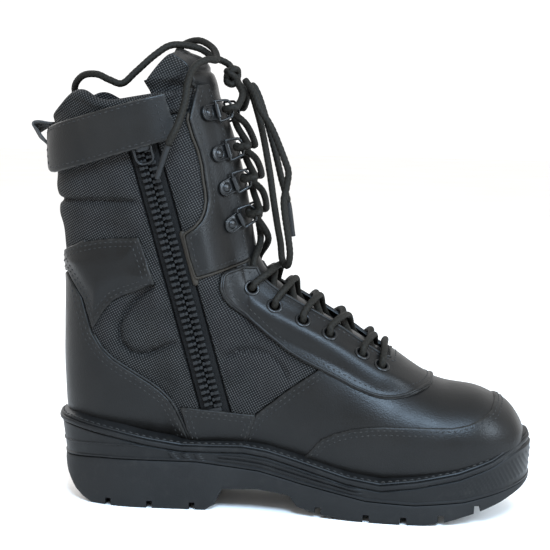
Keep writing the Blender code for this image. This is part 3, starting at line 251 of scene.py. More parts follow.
def front_distance(points):
    middle = points.shape[1] // 2
    step = np.linalg.norm(np.diff(points, axis=1), axis=2)
    run = np.concatenate([np.zeros((len(points), 1)), np.cumsum(step, axis=1)], axis=1)
    return np.abs(run - run[:, middle : middle + 1])


def lace_gap(t):
    gap = np.array(LACE_GAP)
    return np.interp(np.asarray(t, float), gap[:, 0], gap[:, 1])


def line_z(line, x):
    line = np.array(line, float)
    return np.interp(x, line[:, 0], line[:, 1])


def body_grid(t, columns):
    """Points, outward normals and front distance; columns run from the heel, medial side first."""
    angle = np.linspace(0, math.pi, 241)
    v = np.linspace(-1, 1, columns + 1)[:-1]
    rows = []
    for bx, bz, fx, fz, medial, lateral, widest, back, front in sections_at(np.asarray(t, float)):
        power = np.where(angle < math.pi / 2, 2 / front, 2 / back)
        c = np.sign(np.cos(angle)) * np.abs(np.cos(angle)) ** power
        s = np.abs(np.sin(angle)) ** power
        s[-1] = 0
        reach = np.where(c > 0, widest + (1 - widest) * c, widest + widest * c)
        halves = []
        for width in (-medial, lateral):
            line = np.stack([bx + (fx - bx) * reach, width * s, bz + (fz - bz) * reach], 1)
            run = run_of(line)
            halves.append(np.stack([np.interp(np.abs(v) * run[-1], run, line[:, k]) for k in range(3)], 1))
        rows.append(np.where((v < 0)[:, None], halves[0], halves[1]))
    points = flatten_for_zip(np.array(rows))
    normals = grid_normals(points)
    arc = front_distance(points)
    gap = lace_gap(t)[:, None]
    dent = 3.0 * smoothstep(np.asarray(t), THROAT - 0.6, THROAT + 1.0)[:, None]
    dent = dent * (1 - smoothstep(arc, gap + 8, gap + 26))
    points = points - normals * dent[..., None]
    return points, grid_normals(points), arc


def edge_distance(a, b, x, z):
    """Distance (mm) from side-view points to the straight line from a to b."""
    edge = b - a
    u = np.clip(((x - a[0]) * edge[0] + (z - a[1]) * edge[1]) / (edge @ edge), 0, 1)
    return np.hypot(x - a[0] - u * edge[0], z - a[1] - u * edge[1])


def inside(outline, x, z):
    """Signed distance (mm) to a side-view outline, negative inside it."""
    corners = np.array(outline, float)
    nearest = np.full(np.shape(x), 1e9)
    crossings = np.zeros(np.shape(x), int)
    for a, b in zip(corners, np.roll(corners, -1, 0), strict=True):
        edge = b - a
        nearest = np.minimum(nearest, edge_distance(a, b, x, z))
        spans = (a[1] > z) != (b[1] > z)
        safe = edge[1] if edge[1] != 0 else 1.0
        crossings += spans & (x < a[0] + edge[0] * (z - a[1]) / safe)
    return np.where(crossings % 2 == 1, -nearest, nearest)


def line_distance(line, x, z):
    """Distance (mm) to a side-view line."""
    line = np.array(line, float)
    nearest = np.full(np.shape(x), 1e9)
    for a, b in zip(line[:-1], line[1:], strict=True):
        nearest = np.minimum(nearest, edge_distance(a, b, x, z))
    return nearest


ROWS = np.concatenate([np.linspace(0.12, 0.5, 5)[:-1], np.linspace(0.5, 21.0, 370)])
COLUMNS = 224
P, N, ARC = body_grid(ROWS, COLUMNS)
STATION = np.repeat(ROWS[:, None], COLUMNS, axis=1)
X, Y, Z = P[..., 0], P[..., 1], P[..., 2]
FRONT_GAP = lace_gap(STATION)
ZIP_S = (P - ZIP_START) @ ZIP_ALONG
MEDIAL_D = np.where(Y < -12, (P - ZIP_START) @ ZIP_ACROSS, -200.0)
EVERYWHERE = np.full_like(X, -1.0)
UNDER = P[ROWS <= 11, 0][::-1]


def feather(x):
    """Height (mm) of the body's underside at x."""
    return np.interp(x, UNDER[:, 0], UNDER[:, 2])


def station_at(x, z):
    """The station of the medial side's point at x and z in side view."""
    miss = np.hypot(X - x, Z - z) + 1e3 * (-Y < 4)
    return ROWS[np.unravel_index(np.argmin(miss), miss.shape)[0]]


def on_body(t, arc, side, height=0.0):
    """Point and normal at station t, arc mm round from the front centre, height mm off the body."""
    place = float(np.interp(t, ROWS, np.arange(len(ROWS))))
    i = min(int(place), len(ROWS) - 2)
    u = place - i
    middle = COLUMNS // 2
    order = np.arange(middle, -1, -1) if side < 0 else np.arange(middle, COLUMNS)
    point, normal = np.zeros(3), np.zeros(3)
    for row, share in ((i, 1 - u), (i + 1, u)):
        run = ARC[row, order]
        point += share * np.array([np.interp(arc, run, P[row, order, k]) for k in range(3)])
        normal += share * np.array([np.interp(arc, run, N[row, order, k]) for k in range(3)])
    normal = unit(normal)
    return point + normal * height, normal


def local_axes(t, arc, side):
    """Columns: towards the front centre, up the boot, outward normal."""
    point, normal = on_body(t, arc, side)
    inward = on_body(t, max(arc - 3, 0), side)[0] - point
    inward = unit(inward - normal * (inward @ normal))
    up = np.cross(normal, inward)
    if up @ (on_body(t + 0.3, arc, side)[0] - point) < 0:
        up = -up
    return np.stack([inward, up, normal], 1)


def eyestay_lift(station, arc):
    """How far (mm) the eyestay stands off the body over the tongue's padding."""
    gap = lace_gap(station)
    fade = 1 - smoothstep(arc, gap + 17, gap + 28.5)
    return 5.4 * fade * smoothstep(station, THROAT - 0.6, THROAT + 0.35)


# ---------------------------------------------------------------- regions (signed distance, negative inside)
# A step in stations becomes mm with a factor that is the local distance between two stations.
LOW = feather(X) + 5 - Z
TONGUE_REACH = FRONT_GAP + TONGUE_EDGE + 34 * smoothstep(STATION, 18.65, 19.3)
TONGUE_TOP = 20.95 - 1.7 * (np.minimum(ARC, 62) / 62) ** 2
TONGUE = np.maximum.reduce([ARC - TONGUE_REACH, (THROAT + 0.1 - STATION) * 28, (STATION - TONGUE_TOP) * 14])
WING_REACH = FRONT_GAP + TONGUE_EDGE + 34 * smoothstep(STATION, 17.5, 18.1)
WING = np.maximum.reduce([ARC - WING_REACH, FRONT_GAP + 15.0 - ARC, (STATION - TONGUE_TOP) * 14])
WING_INSET = 5.8 * smoothstep(ARC - FRONT_GAP, 9, 14) * (1 - smoothstep(STATION, 18.75, 19.4))
VAMP = inside(VAMP_REAR, X, Z)
CAP = inside(CAP_SEAM, X, Z)
COUNTER_AREA = inside(COUNTER, X, Z)
FACING_AREA = inside(FACING, X, Z)
THROAT_AREA = np.maximum(ARC - FRONT_GAP, (THROAT + 0.3 - STATION) * 28)
EYESTAY_AREA = np.maximum(inside(EYESTAY, X, Z), -THROAT_AREA)
BEYOND_ZIP = np.minimum(ZIP_S - 0.2, ZIP_LENGTH + 10.6 - ZIP_S)
SHAFT_EDGE = np.minimum((STATION - 17.45) * 24, np.maximum((STATION - 18.5) * 20, FACING_AREA + 0.2))
BAND = np.maximum(np.abs(STATION - 14.44) * 24 - 5.5, X + 131)
ANKLE = np.minimum(inside(ANKLE_PATCH, X, Z), BAND)


def make_relief():
    """Padding and sewn channels of the shaft (mm), shared by every layer over it."""
    away = np.minimum.reduce([smoothstep(FACING_AREA, 2, 12), smoothstep(EYESTAY_AREA, 2, 12),
                              smoothstep(np.abs(MEDIAL_D), 10, 17)])
    away = away * smoothstep(VAMP, 2, 10)
    relief = np.zeros_like(X)
    for line, depth in CHANNELS:
        d = line_distance(line, X, Z)
        relief -= depth * np.exp(-((d / 1.7) ** 2))
        relief += 0.55 * depth * np.exp(-(((d - 8.0) / 6.5) ** 2))
    relief += 1.6 * smoothstep(-inside(ANKLE_PATCH, X, Z), 0, 16)
    return relief * away


RELIEF = make_relief()


# ---------------------------------------------------------------- materials
def material(name):
    made = bpy.data.materials.new(name + "_look")
    made.use_nodes = True
    tree = made.node_tree
    shader = next(n for n in tree.nodes if n.type == "BSDF_PRINCIPLED")
    return made, tree, shader


def node(tree, kind, values=None, **settings):
    made = tree.nodes.new("ShaderNode" + kind)
    for key, value in settings.items():
        setattr(made, key, value)
    for key, value in (values or {}).items():
        socket = made.inputs[key]
        if isinstance(value, bpy.types.NodeSocket):
            tree.links.new(value, socket)
        else:
            socket.default_value = value
    return made


def math_op(tree, operation, a, b=0.0, c=0.0):
    return node(tree, "Math", {0: a, 1: b, 2: c}, operation=operation).outputs[0]


def object_point(tree):
    return node(tree, "TexCoord").outputs["Object"]


def noise(tree, where, scale, detail=3.0, rough=0.55):
    values = {"Vector": where, "Scale": scale, "Detail": detail, "Roughness": rough}
    return node(tree, "TexNoise", values).outputs[0]


def spread(tree, value, low, high, to_low, to_high):
    values = {"Value": value, "From Min": low, "From Max": high, "To Min": to_low, "To Max": to_high}
    return node(tree, "MapRange", values).outputs[0]


def mix(tree, share, a, b):
    made = node(tree, "Mix", data_type="RGBA")
    for socket, value in ((made.inputs[0], share), (made.inputs[6], a), (made.inputs[7], b)):
        if isinstance(value, bpy.types.NodeSocket):
            tree.links.new(value, socket)
        else:
            socket.default_value = value
    return made.outputs[2]


def bump(tree, shader, height, distance, strength=1.0):
    made = node(tree, "Bump", {"Height": height, "Distance": distance, "Strength": strength})
    tree.links.new(made.outputs[0], shader.inputs["Normal"])


def finish_look(tree, shader, base, rough, specular):
    tree.links.new(base, shader.inputs["Base Color"])
    tree.links.new(rough, shader.inputs["Roughness"])
    shader.inputs["Specular IOR Level"].default_value = specular


def colour(value, warmth=0.0):
    return (value * (1 + warmth), value, value * (1 - warmth), 1.0)


def edge_share(tree):
    """1 along a panel's cut or turned edge, 0 inside, from the mesh's own edge attribute."""
    return node(tree, "Attribute", attribute_name="edge").outputs["Fac"]


def make_leather(name, tone=0.0055, rough=0.37, grain=1.0, wear=0.10, warmth=0.08):
    """Polished corrected-grain leather: fine pebble, faint creases, scuffed and paler along the edges."""
    made, tree, shader = material(name)
    where = object_point(tree)
    cells = node(tree, "TexVoronoi", {"Vector": where, "Scale": 1150.0}, feature="SMOOTH_F1")
    cells = cells.outputs["Distance"]
    pores = noise(tree, where, 2300.0, 2.0)
    creases = noise(tree, where, 95.0, 5.0, 0.62)
    cloud = noise(tree, where, 26.0, 4.0)
    height = math_op(tree, "MULTIPLY_ADD", cells, 0.65 * grain, math_op(tree, "MULTIPLY", pores, 0.28 * grain))
    height = math_op(tree, "MULTIPLY_ADD", creases, 0.85, height)
    bump(tree, shader, height, 0.00022, 0.62)
    base = mix(tree, spread(tree, cloud, 0.35, 0.7, 0.0, 1.0), colour(tone * 0.82, warmth),
               colour(tone * 1.2, warmth + 0.02))
    patchy = spread(tree, noise(tree, where, 420.0, 4.0), 0.42, 0.72, 0, 1)
    scuff = math_op(tree, "MULTIPLY", edge_share(tree), patchy)
    base = mix(tree, math_op(tree, "MULTIPLY", scuff, wear * 4.0), base, (0.034, 0.031, 0.026, 1.0))
    shine = spread(tree, noise(tree, where, 60.0, 4.0), 0.3, 0.7, rough - 0.045, rough + 0.055)
    finish_look(tree, shader, base, math_op(tree, "MULTIPLY_ADD", scuff, 0.2, shine), 0.16)
    shader.inputs["Coat Weight"].default_value = 0.02
    shader.inputs["Coat Roughness"].default_value = 0.34
    return made


def plane_weave(tree, u, v, pitch):
    """Height of a basket weave over plane coordinates u and v (m): a grid of rounded knuckles."""
    rows = math_op(tree, "SINE", math_op(tree, "MULTIPLY", u, 2 * math.pi / pitch))
    columns = math_op(tree, "SINE", math_op(tree, "MULTIPLY", v, 2 * math.pi / pitch))
    return math_op(tree, "ABSOLUTE", math_op(tree, "MULTIPLY", rows, columns))


def box_weave(tree, pitch, tilt=0.0):
    """The weave laid on from the side, the back and above, by the surface's own direction."""
    where = node(tree, "Mapping", {"Vector": object_point(tree), "Rotation": (0.0, tilt, 0.0)}).outputs[0]
    parts = node(tree, "SeparateXYZ", {0: where}).outputs
    facing = node(tree, "SeparateXYZ", {0: node(tree, "NewGeometry").outputs["True Normal"]}).outputs
    side = plane_weave(tree, parts[0], parts[2], pitch)
    end = plane_weave(tree, parts[1], parts[2], pitch)
    top = plane_weave(tree, parts[0], parts[1], pitch)
    to_end = spread(tree, math_op(tree, "ABSOLUTE", facing[0]), 0.62, 0.78, 0.0, 1.0)
    to_top = spread(tree, math_op(tree, "ABSOLUTE", facing[2]), 0.7, 0.82, 0.0, 1.0)
    height = node(tree, "Mix", {0: to_end, 2: side, 3: end}, data_type="FLOAT").outputs[0]
    return node(tree, "Mix", {0: to_top, 2: height, 3: top}, data_type="FLOAT").outputs[0]


def make_textile(name, tone=0.015, pitch=0.0017, depth=0.00035, tilt=0.5, pale=2.2):
    """Coarse woven nylon, with a painted highlight on the weave's raised tops and painted shade in the gaps
    between them.
    """
    made, tree, shader = material(name)
    where = object_point(tree)
    weave = box_weave(tree, pitch, tilt)
    fuzz = noise(tree, where, 1800.0, 3.0)
    bump(tree, shader, math_op(tree, "MULTIPLY_ADD", fuzz, 0.25, weave), depth, 0.9)
    # painted light: by the weave's height, the gaps get painted shade and the raised tops a painted highlight
    painted_weave_light = mix(tree, spread(tree, weave, 0.3, 0.85, 0.0, 1.0), colour(tone * 0.3), colour(tone * pale, 0.06))
    cloud = spread(tree, noise(tree, where, 38.0, 5.0, 0.6), 0.3, 0.7, 0.72, 1.22)
    shade = node(tree, "VectorMath", {0: painted_weave_light, 3: cloud}, operation="SCALE").outputs[0]
    finish_look(tree, shader, shade, spread(tree, weave, 0.0, 1.0, 0.85, 0.58), 0.12)
    return made


def make_rubber(name, tone=0.0055, rough=0.46):
    """Moulded rubber: faint orange-peel, patches of dust, paler where it rubs."""
    made, tree, shader = material(name)
    where = object_point(tree)
    peel = noise(tree, where, 900.0, 3.0)
    large = noise(tree, where, 45.0, 5.0, 0.6)
    bump(tree, shader, math_op(tree, "MULTIPLY_ADD", large, 0.8, peel), 0.00016, 0.55)
    base = mix(tree, spread(tree, large, 0.35, 0.7, 0.0, 1.0), colour(tone * 0.85), colour(tone * 1.25, 0.02))
    dust = spread(tree, noise(tree, where, 160.0, 6.0, 0.7), 0.55, 0.8, 0.0, 0.35)
    base = mix(tree, dust, base, (0.026, 0.024, 0.021, 1.0))
    finish_look(tree, shader, base, spread(tree, large, 0.3, 0.7, rough - 0.07, rough + 0.09), 0.17)
    return made


def make_metal(name, tone=0.010, rough=0.30, chips=0.3):
    """Black lacquered steel: smooth, with bare metal showing through at the rubbed places."""
    made, tree, shader = material(name)
    where = object_point(tree)
    worn = spread(tree, noise(tree, where, 700.0, 5.0, 0.7), 0.66, 0.74, 0.0, chips)
    base = mix(tree, worn, colour(tone), (0.28, 0.27, 0.26, 1.0))
    shine = spread(tree, noise(tree, where, 300.0, 4.0), 0.3, 0.7, rough - 0.06, rough + 0.1)
    finish_look(tree, shader, base, shine, 0.55)
    bump(tree, shader, noise(tree, where, 1500.0, 3.0), 0.00005, 0.4)
    shader.inputs["Metallic"].default_value = 0.55
    return made


def make_braid(name, tone=0.008, warmth=0.10):
    """Waxed round braid: olive-black yarns, with painted shade in the valleys between them."""
    made, tree, shader = material(name)
    where = object_point(tree)
    ridge = node(tree, "Attribute", attribute_name="ridge").outputs["Fac"]
    fibres = noise(tree, where, 2600.0, 4.0, 0.7)
    # painted shade: where the ridge is low, in the valleys between strands, the braid is painted darker
    base = mix(tree, ridge, colour(tone * 0.25, warmth), (tone * 1.25, tone * 1.08, tone * 0.80, 1.0))
    pale = (tone * 1.9, tone * 1.6, tone * 1.1, 1.0)
    base = mix(tree, spread(tree, fibres, 0.4, 0.75, 0.0, 0.4), base, pale)
    finish_look(tree, shader, base, spread(tree, fibres, 0.3, 0.7, 0.55, 0.8), 0.12)
    bump(tree, shader, fibres, 0.00012, 0.7)
    return made


def make_thread(name, tone):
    """Twisted sewing thread."""
    made, tree, shader = material(name)
    where = object_point(tree)
    twist = noise(tree, where, 3000.0, 2.0)
    base = mix(tree, spread(tree, noise(tree, where, 200.0, 3.0), 0.4, 0.7, 0, 1), colour(tone * 0.6),
               (tone * 1.25, tone * 1.15, tone, 1.0))
    finish_look(tree, shader, base, spread(tree, twist, 0.3, 0.7, 0.45, 0.7), 0.2)
    bump(tree, shader, twist, 0.0001, 0.6)
    return made


def make_plastic(name, tone=0.007, rough=0.42):
    """Moulded plastic or pressed board, with a fine grain."""
    made, tree, shader = material(name)
    where = object_point(tree)
    grain = noise(tree, where, 1300.0, 3.0)
    cloud = spread(tree, noise(tree, where, 120.0, 4.0), 0.4, 0.7, 0, 1)
    base = mix(tree, cloud, colour(tone * 0.8), colour(tone * 1.3))
    finish_look(tree, shader, base, spread(tree, grain, 0.3, 0.7, rough - 0.06, rough + 0.1), 0.2)
    bump(tree, shader, grain, 0.00008, 0.5)
    return made


def make_floor():
    """Plain off-white studio paper."""
    made, tree, shader = material("floor_paper")
    where = object_point(tree)
    cloud = noise(tree, where, 3.0, 4.0)
    base = mix(tree, spread(tree, cloud, 0.3, 0.7, 0, 1), (0.90, 0.885, 0.865, 1.0), (0.93, 0.92, 0.905, 1.0))
    tree.links.new(base, shader.inputs["Base Color"])
    tree.links.new(spread(tree, cloud, 0.3, 0.7, 0.75, 0.9), shader.inputs["Roughness"])
    return made


LEATHER = make_leather("black_leather")
LEATHER_CAP = make_leather("black_leather_toe", rough=0.36)
LEATHER_STRAP = make_leather("black_leather_strap", tone=0.008, rough=0.36, wear=0.22)
EDGE = make_leather("leather_binding", tone=0.014, rough=0.6, grain=1.4, wear=0.12, warmth=0.28)
TEXTILE_LOOK = make_textile("woven_nylon", tone=0.011, pitch=0.0029, depth=0.0006, pale=3.7)
LINING_LOOK = make_textile("knit_lining", tone=0.008, pitch=0.0011, depth=0.00018)
TAPE_LOOK = make_textile("zip_tape_weave", tone=0.005, pitch=0.0009, depth=0.00018, tilt=0.28)
WEBBING = make_textile("webbing_weave", tone=0.075, pitch=0.0013, depth=0.0003, tilt=0.0, pale=1.6)
HOOKS = make_textile("hook_and_loop", tone=0.009, pitch=0.0016, depth=0.0008)
RUBBER = make_rubber("moulded_rubber")
TREAD = make_rubber("tread_rubber", tone=0.008, rough=0.6)
METAL = make_metal("black_metal")
PLASTIC = make_plastic("zip_plastic")
BRAID = make_braid("lace_braid")
THREAD = make_thread("black_thread", 0.019)
BOARD = make_plastic("fibre_board", tone=0.16, rough=0.7)
STEEL = make_metal("shank_steel", tone=0.35, rough=0.35, chips=0.2)
TIP = make_plastic("lace_tip", tone=0.010, rough=0.3)


# ---------------------------------------------------------------- mesh tools
def add_mesh(name, look, points, faces, body="boot", attributes=None, sharp=None, replaces=None, outward=True):
    """A mesh object from points in mm, riding on a body; its faces are turned to point outward."""
    data = bpy.data.meshes.new(name)
    world = ((np.asarray(points, float) + CENTRE) * MM).tolist()
    data.from_pydata(world, [], [tuple(int(k) for k in face) for face in faces])
    data.update()
    data.shade_smooth()
    if sharp is not None:
        data.set_sharp_from_angle(angle=math.radians(sharp))
    for key, values in (attributes or {}).items():
        layer = data.attributes.new(key, "FLOAT", "POINT")
        layer.data.foreach_set("value", np.asarray(values, np.float32))
    data.materials.append(look)
    made = bpy.data.objects.new(name, data)
    bpy.context.scene.collection.objects.link(made)
    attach(made, body)
    if outward:
        turn_outward(data)
    if replaces:
        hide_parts(replaces)
    return made


def turn_outward(data):
    mesh = bmesh.new()
    mesh.from_mesh(data)
    bmesh.ops.recalc_face_normals(mesh, faces=mesh.faces)
    mesh.to_mesh(data)
    mesh.free()
    data.update()


def smooth_route(points, step):
    """Evenly spaced points on the smooth open curve through the given ones."""
    p = np.array(points, float)
    p = np.vstack([2 * p[0] - p[1], p, 2 * p[-1] - p[-2]])
    dense = []
    for k in range(1, len(p) - 2):
        for u in np.linspace(0, 1, 24, endpoint=False):
            dense.append(catmull(p[k - 1], p[k], p[k + 1], p[k + 2], u))
    dense.append(p[-2])
    return resample(np.array(dense), step)


def smooth_ring(points, steps):
    """Points on the smooth closed curve through the given ones, steps to each stretch."""
    p = np.array(points, float)
    dense = []
    for k in range(len(p)):
        a, b, c, d = (p[(k + m) % len(p)] for m in (-1, 0, 1, 2))
        for u in np.linspace(0, 1, steps, endpoint=False):
            dense.append(catmull(a, b, c, d, u))
    return np.array(dense)


def round_loop(points, step):
    """Evenly spaced points on the smooth closed curve through the given ones."""
    return resample(smooth_ring(points, 16), step, closed=True)


def resample(points, step, closed=False):
    """The same line with its points step apart."""
    points = np.asarray(points, float)
    if closed:
        points = np.vstack([points, points[:1]])
    run = run_of(points)
    count = max(2, round(run[-1] / step) + 1)
    at = np.linspace(0, run[-1], count)
    made = np.stack([np.interp(at, run, points[:, k]) for k in range(points.shape[1])], 1)
    return made[:-1] if closed else made


def frames_along(path, closed=False):
    """Tangents and a steady normal pair along a path, turned evenly to close on a closed one."""
    if closed:
        tangents = np.roll(path, -1, 0) - np.roll(path, 1, 0)
    else:
        tangents = np.gradient(path, axis=0)
    tangents /= np.maximum(np.linalg.norm(tangents, axis=1, keepdims=True), 1e-9)
    normals = [unit(np.cross(tangents[0], (0.13, 0.21, 0.97)))]
    for t in tangents[1:]:
        normals.append(unit(normals[-1] - t * (normals[-1] @ t)))
    normals = np.array(normals)
    if closed:
        last = normals[-1] - tangents[0] * (normals[-1] @ tangents[0])
        side = np.cross(tangents[0], normals[0])
        twist = math.atan2(last @ side, last @ normals[0])
        turn = -twist * np.arange(len(path)) / len(path)
        cross = np.cross(tangents, normals)
        normals = normals * np.cos(turn)[:, None] + cross * np.sin(turn)[:, None]
    return tangents, normals, np.cross(tangents, normals)


def ring_faces(rings, count, closed=False):
    """Quads between neighbouring rings of count points each; closed joins the last ring to the first."""
    faces = []
    for i in range(rings if closed else rings - 1):
        j = (i + 1) % rings
        for k in range(count):
            m = (k + 1) % count
            faces.append((i * count + k, i * count + m, j * count + m, j * count + k))
    return faces


def end_faces(rings, count):
    """The two flat ends of a stack of rings."""
    return [tuple(range(count))[::-1], tuple((rings - 1) * count + k for k in range(count))]


def tube_mesh(path, radius, sides=12, closed=False, frames=None, scale=(1.0, 1.0)):
    """Points and faces of a tube; radius may vary by ring, or by ring and side."""
    path = np.asarray(path, float)
    count = len(path)
    _, n, b = frames if frames is not None else frames_along(path, closed)
    angle = 2 * math.pi * np.arange(sides) / sides
    radius = np.asarray(radius, float)
    radius = radius[:, None] if radius.ndim == 1 else radius
    radius = np.broadcast_to(radius, (count, sides))
    cos, sin = np.cos(angle) * scale[0], np.sin(angle) * scale[1]
    offset = n[:, None, :] * (radius * cos)[..., None] + b[:, None, :] * (radius * sin)[..., None]
    points = (path[:, None, :] + offset).reshape(-1, 3)
    return points, ring_faces(count, sides, closed) + ([] if closed else end_faces(count, sides))


def band_frames(path, side):
    """Frames for a tube whose first cross direction is side."""
    tangents = unit(np.gradient(path, axis=0))
    side = np.broadcast_to(np.asarray(side, float), path.shape)
    return tangents, side, np.cross(tangents, side)


def join(parts):
    """One points array and face list from several."""
    points, faces, base = [], [], 0
    for p, f in parts:
        points.append(np.asarray(p, float))
        faces.extend(tuple(base + k for k in face) for face in f)
        base += len(p)
    return np.vstack(points), faces


def grid_quads(shape):
    """Corner indices of each cell of a grid whose columns run once round the boot."""
    rows, columns = shape
    i, j = np.nonzero(np.ones((rows - 1, columns), bool))
    k = (j + 1) % columns
    return np.stack([i * columns + j, i * columns + k, (i + 1) * columns + k, (i + 1) * columns + j], 1)


def two_triangles(quad):
    return (quad[0], quad[1], quad[2]), (quad[0], quad[2], quad[3])


def clip_ring(ring, level, keep_below, flat):
    """The part of a polygon of (name, value) corners that lies below level, or at and above it."""
    kept = []
    for (p, p_value), (q, q_value) in zip(ring, ring[1:] + ring[:1], strict=True):
        p_in = p_value < level if keep_below else p_value >= level
        q_in = q_value < level if keep_below else q_value >= level
        if p_in:
            kept.append((p, p_value))
        if p_in != q_in and p_value != q_value:
            kept.append((cross_key(p, q, flat, level), level))
    return kept


def clip_cells(field, levels):
    """Cuts the grid's cells where field passes each level, and keeps what lies below the last level.

    Returns the corner table (grid index a, grid index b, share) and the faces over it."""
    ids, table, faces = {}, [], []

    def key(a, b, share):
        name = (a, b, round(share, 7))
        if name not in ids:
            ids[name] = len(table)
            table.append(name)
        return ids[name]

    flat = field.ravel()
    corners = grid_quads(field.shape)
    values = flat[corners]
    whole = (values < levels[0]).all(axis=1)
    out = (values >= levels[-1]).all(axis=1)
    for quad in corners[whole]:
        faces.append(tuple(key(int(k), int(k), 0.0) for k in quad))
    bands = list(zip((None, *levels[:-1]), levels, strict=True))
    for quad in corners[~whole & ~out]:
        for tri in two_triangles(quad):
            start = [((int(p), int(p), 0.0), float(flat[p])) for p in tri]
            for low, high in bands:
                ring = clip_ring(start, high, True, flat)
                if low is not None and len(ring) >= 3:
                    ring = clip_ring(ring, low, False, flat)
                if len(ring) < 3:
                    continue
                face = []
                for name, _ in ring:
                    index = key(*name)
                    if not face or face[-1] != index:
                        face.append(index)
                if face[0] == face[-1]:
                    face = face[:-1]
                if len(set(face)) == len(face) and len(face) >= 3:
                    faces.append(tuple(face))
    return table, faces


def cross_key(p, q, flat, level):
    """Name of the point where field is level between two named points that share a grid edge."""
    a, b = sorted({p[0], p[1], q[0], q[1]})
    return (a, b, (level - flat[a]) / (flat[b] - flat[a]))


def grid_values(table, *arrays):
    """Each array's values at the corners of the table."""
    a = np.array([name[0] for name in table])
    b = np.array([name[1] for name in table])
    u = np.array([name[2] for name in table])
    made = []
    for array in arrays:
        flat = array.reshape(-1, array.shape[-1]) if array.ndim == 3 else array.ravel()
        share = u[:, None] if array.ndim == 3 else u
        made.append(flat[a] * (1 - share) + flat[b] * share)
    return made


def panel(name, look, field, layer, replaces=None, radius=0.9, bulge=None, toe=False):
    """A closed shell over the body where field is negative, with a rounded outer edge, paler at its edge."""
    thickness = np.min(np.asarray(layer[1]) - np.asarray(layer[0]))
    radius = min(radius, thickness * 0.85)
    levels = (-radius, -0.62 * radius, -0.3 * radius, -0.08 * radius, 0.0)
    table, faces = clip_cells(field, levels)
    inner, outer = (np.broadcast_to(np.asarray(height, float), field.shape) for height in layer)
    arrays = [P, N, field, RELIEF, outer, inner] + ([] if bulge is None else [bulge])
    p, n, f, rise, high, low, *extra = grid_values(table, *arrays)
    n = unit(n)
    inset = np.clip(radius + f, 0, radius)
    drop = radius - np.sqrt(np.maximum(radius**2 - inset**2, 0))
    lift = rise + (extra[0] if extra else 0.0)
    top = p + n * (high + lift - drop)[:, None]
    bottom = p + n * (low + rise)[:, None]
    count = len(p)
    all_faces = faces + [tuple(k + count for k in face[::-1]) for face in faces]
    once = {}
    for face in faces:
        for k in range(len(face)):
            edge = (face[k], face[(k + 1) % len(face)])
            if (edge[1], edge[0]) in once:
                del once[(edge[1], edge[0])]
            else:
                once[edge] = True
    if toe:
        all_faces, once = close_toe(table, all_faces, once, count)
    for a, b in once:
        all_faces.append((b, a, a + count, b + count))
    edge = np.concatenate([smoothstep(f, -3.0, 0.0), np.zeros(count)])
    return add_mesh(name, look, np.vstack([top, bottom]), all_faces, attributes={"edge": edge}, sharp=62,
                    replaces=replaces)


def close_toe(table, all_faces, once, count):
    """Caps the ring that the first row of the grid leaves at the very tip of the toe."""
    index = {name[0]: k for k, name in enumerate(table) if name[0] == name[1] and name[0] < COLUMNS}
    ring = [index[k] for k in range(COLUMNS) if k in index]
    if len(ring) == COLUMNS:
        all_faces.append(tuple(ring[::-1]))
        all_faces.append(tuple(k + count for k in ring))
        tip = set(ring)
        once = {edge: True for edge in once if not (edge[0] in tip and edge[1] in tip)}
    return all_faces, once


def contour(field, level, show=EVERYWHERE, rise=RELIEF):
    """Lines on the body where field is level and show is negative: a list of (points, normals, closed)."""
    flat = field.ravel()
    quads = grid_quads(field.shape)
    values = flat[quads]
    crossing = (values < level).any(axis=1) & (values >= level).any(axis=1)
    links = {}
    for quad in quads[crossing]:
        for tri in two_triangles(quad):
            cuts = []
            for p, q in ((tri[0], tri[1]), (tri[1], tri[2]), (tri[2], tri[0])):
                if (flat[p] < level) != (flat[q] < level):
                    cuts.append((int(min(p, q)), int(max(p, q))))
            if len(cuts) == 2:
                links.setdefault(cuts[0], []).append(cuts[1])
                links.setdefault(cuts[1], []).append(cuts[0])
    lines, used = [], set()
    for start in [k for k, v in links.items() if len(v) == 1] + list(links):
        if start in used:
            continue
        chain = [start]
        used.add(start)
        ahead = [k for k in links[start] if k not in used]
        while ahead:
            chain.append(ahead[0])
            used.add(ahead[0])
            ahead = [k for k in links[chain[-1]] if k not in used]
        closed = len(chain) > 3 and chain[0] in links[chain[-1]] and len(links[chain[0]]) == 2
        table = [(p, q, (level - flat[p]) / (flat[q] - flat[p])) for p, q in chain]
        points, normals, height, shown = grid_values(table, P, N, rise, show)
        normals = unit(normals)
        points = points + normals * height[:, None]
        lines += split_shown(points, normals, closed, shown < 0)
    return lines


def split_shown(points, normals, closed, good):
    """The stretches of a line where good is true."""
    if good.all():
        return [(points, normals, closed)]
    if closed:
        shift = int(np.argmin(good))
        points, normals, good = (np.roll(x, -shift, 0) for x in (points, normals, good))
    pieces, start = [], None
    for k, value in enumerate([*good, False]):
        if value and start is None:
            start = k
        if not value and start is not None:
            if k - start > 3:
                pieces.append((points[start:k], normals[start:k], False))
            start = None
    return pieces


def stitch_parts(lines, height, pitch=3.6, length=2.6, width=0.85):
    """Short rounded stitches laid along lines, height mm off the surface, their ends sunk in it."""
    sink = 0.25
    parts = []
    for points, normals, closed in lines:
        both = np.hstack([points, normals])
        both = resample(both, 0.6, closed)
        run = run_of(both[:, :3])
        if run[-1] < pitch * 2:
            continue
        for k in range(int(run[-1] / pitch)):
            s = (k + 0.5) * pitch
            at = np.linspace(s - length / 2, s + length / 2, 5)
            row = np.stack([np.interp(at, run, both[:, m]) for m in range(6)], 1)
            n = unit(row[:, 3:])
            arch = np.array((-0.55, 0.12, 0.3, 0.12, -0.55)) * width
            path = row[:, :3] + n * (height - sink + arch)[:, None]
            side = np.cross(unit(np.gradient(path, axis=0)), n)
            radius = np.array((0.28, 0.48, 0.52, 0.48, 0.28)) * width
            parts.append(tube_mesh(path, radius, 6, frames=band_frames(path, side)))
    return parts


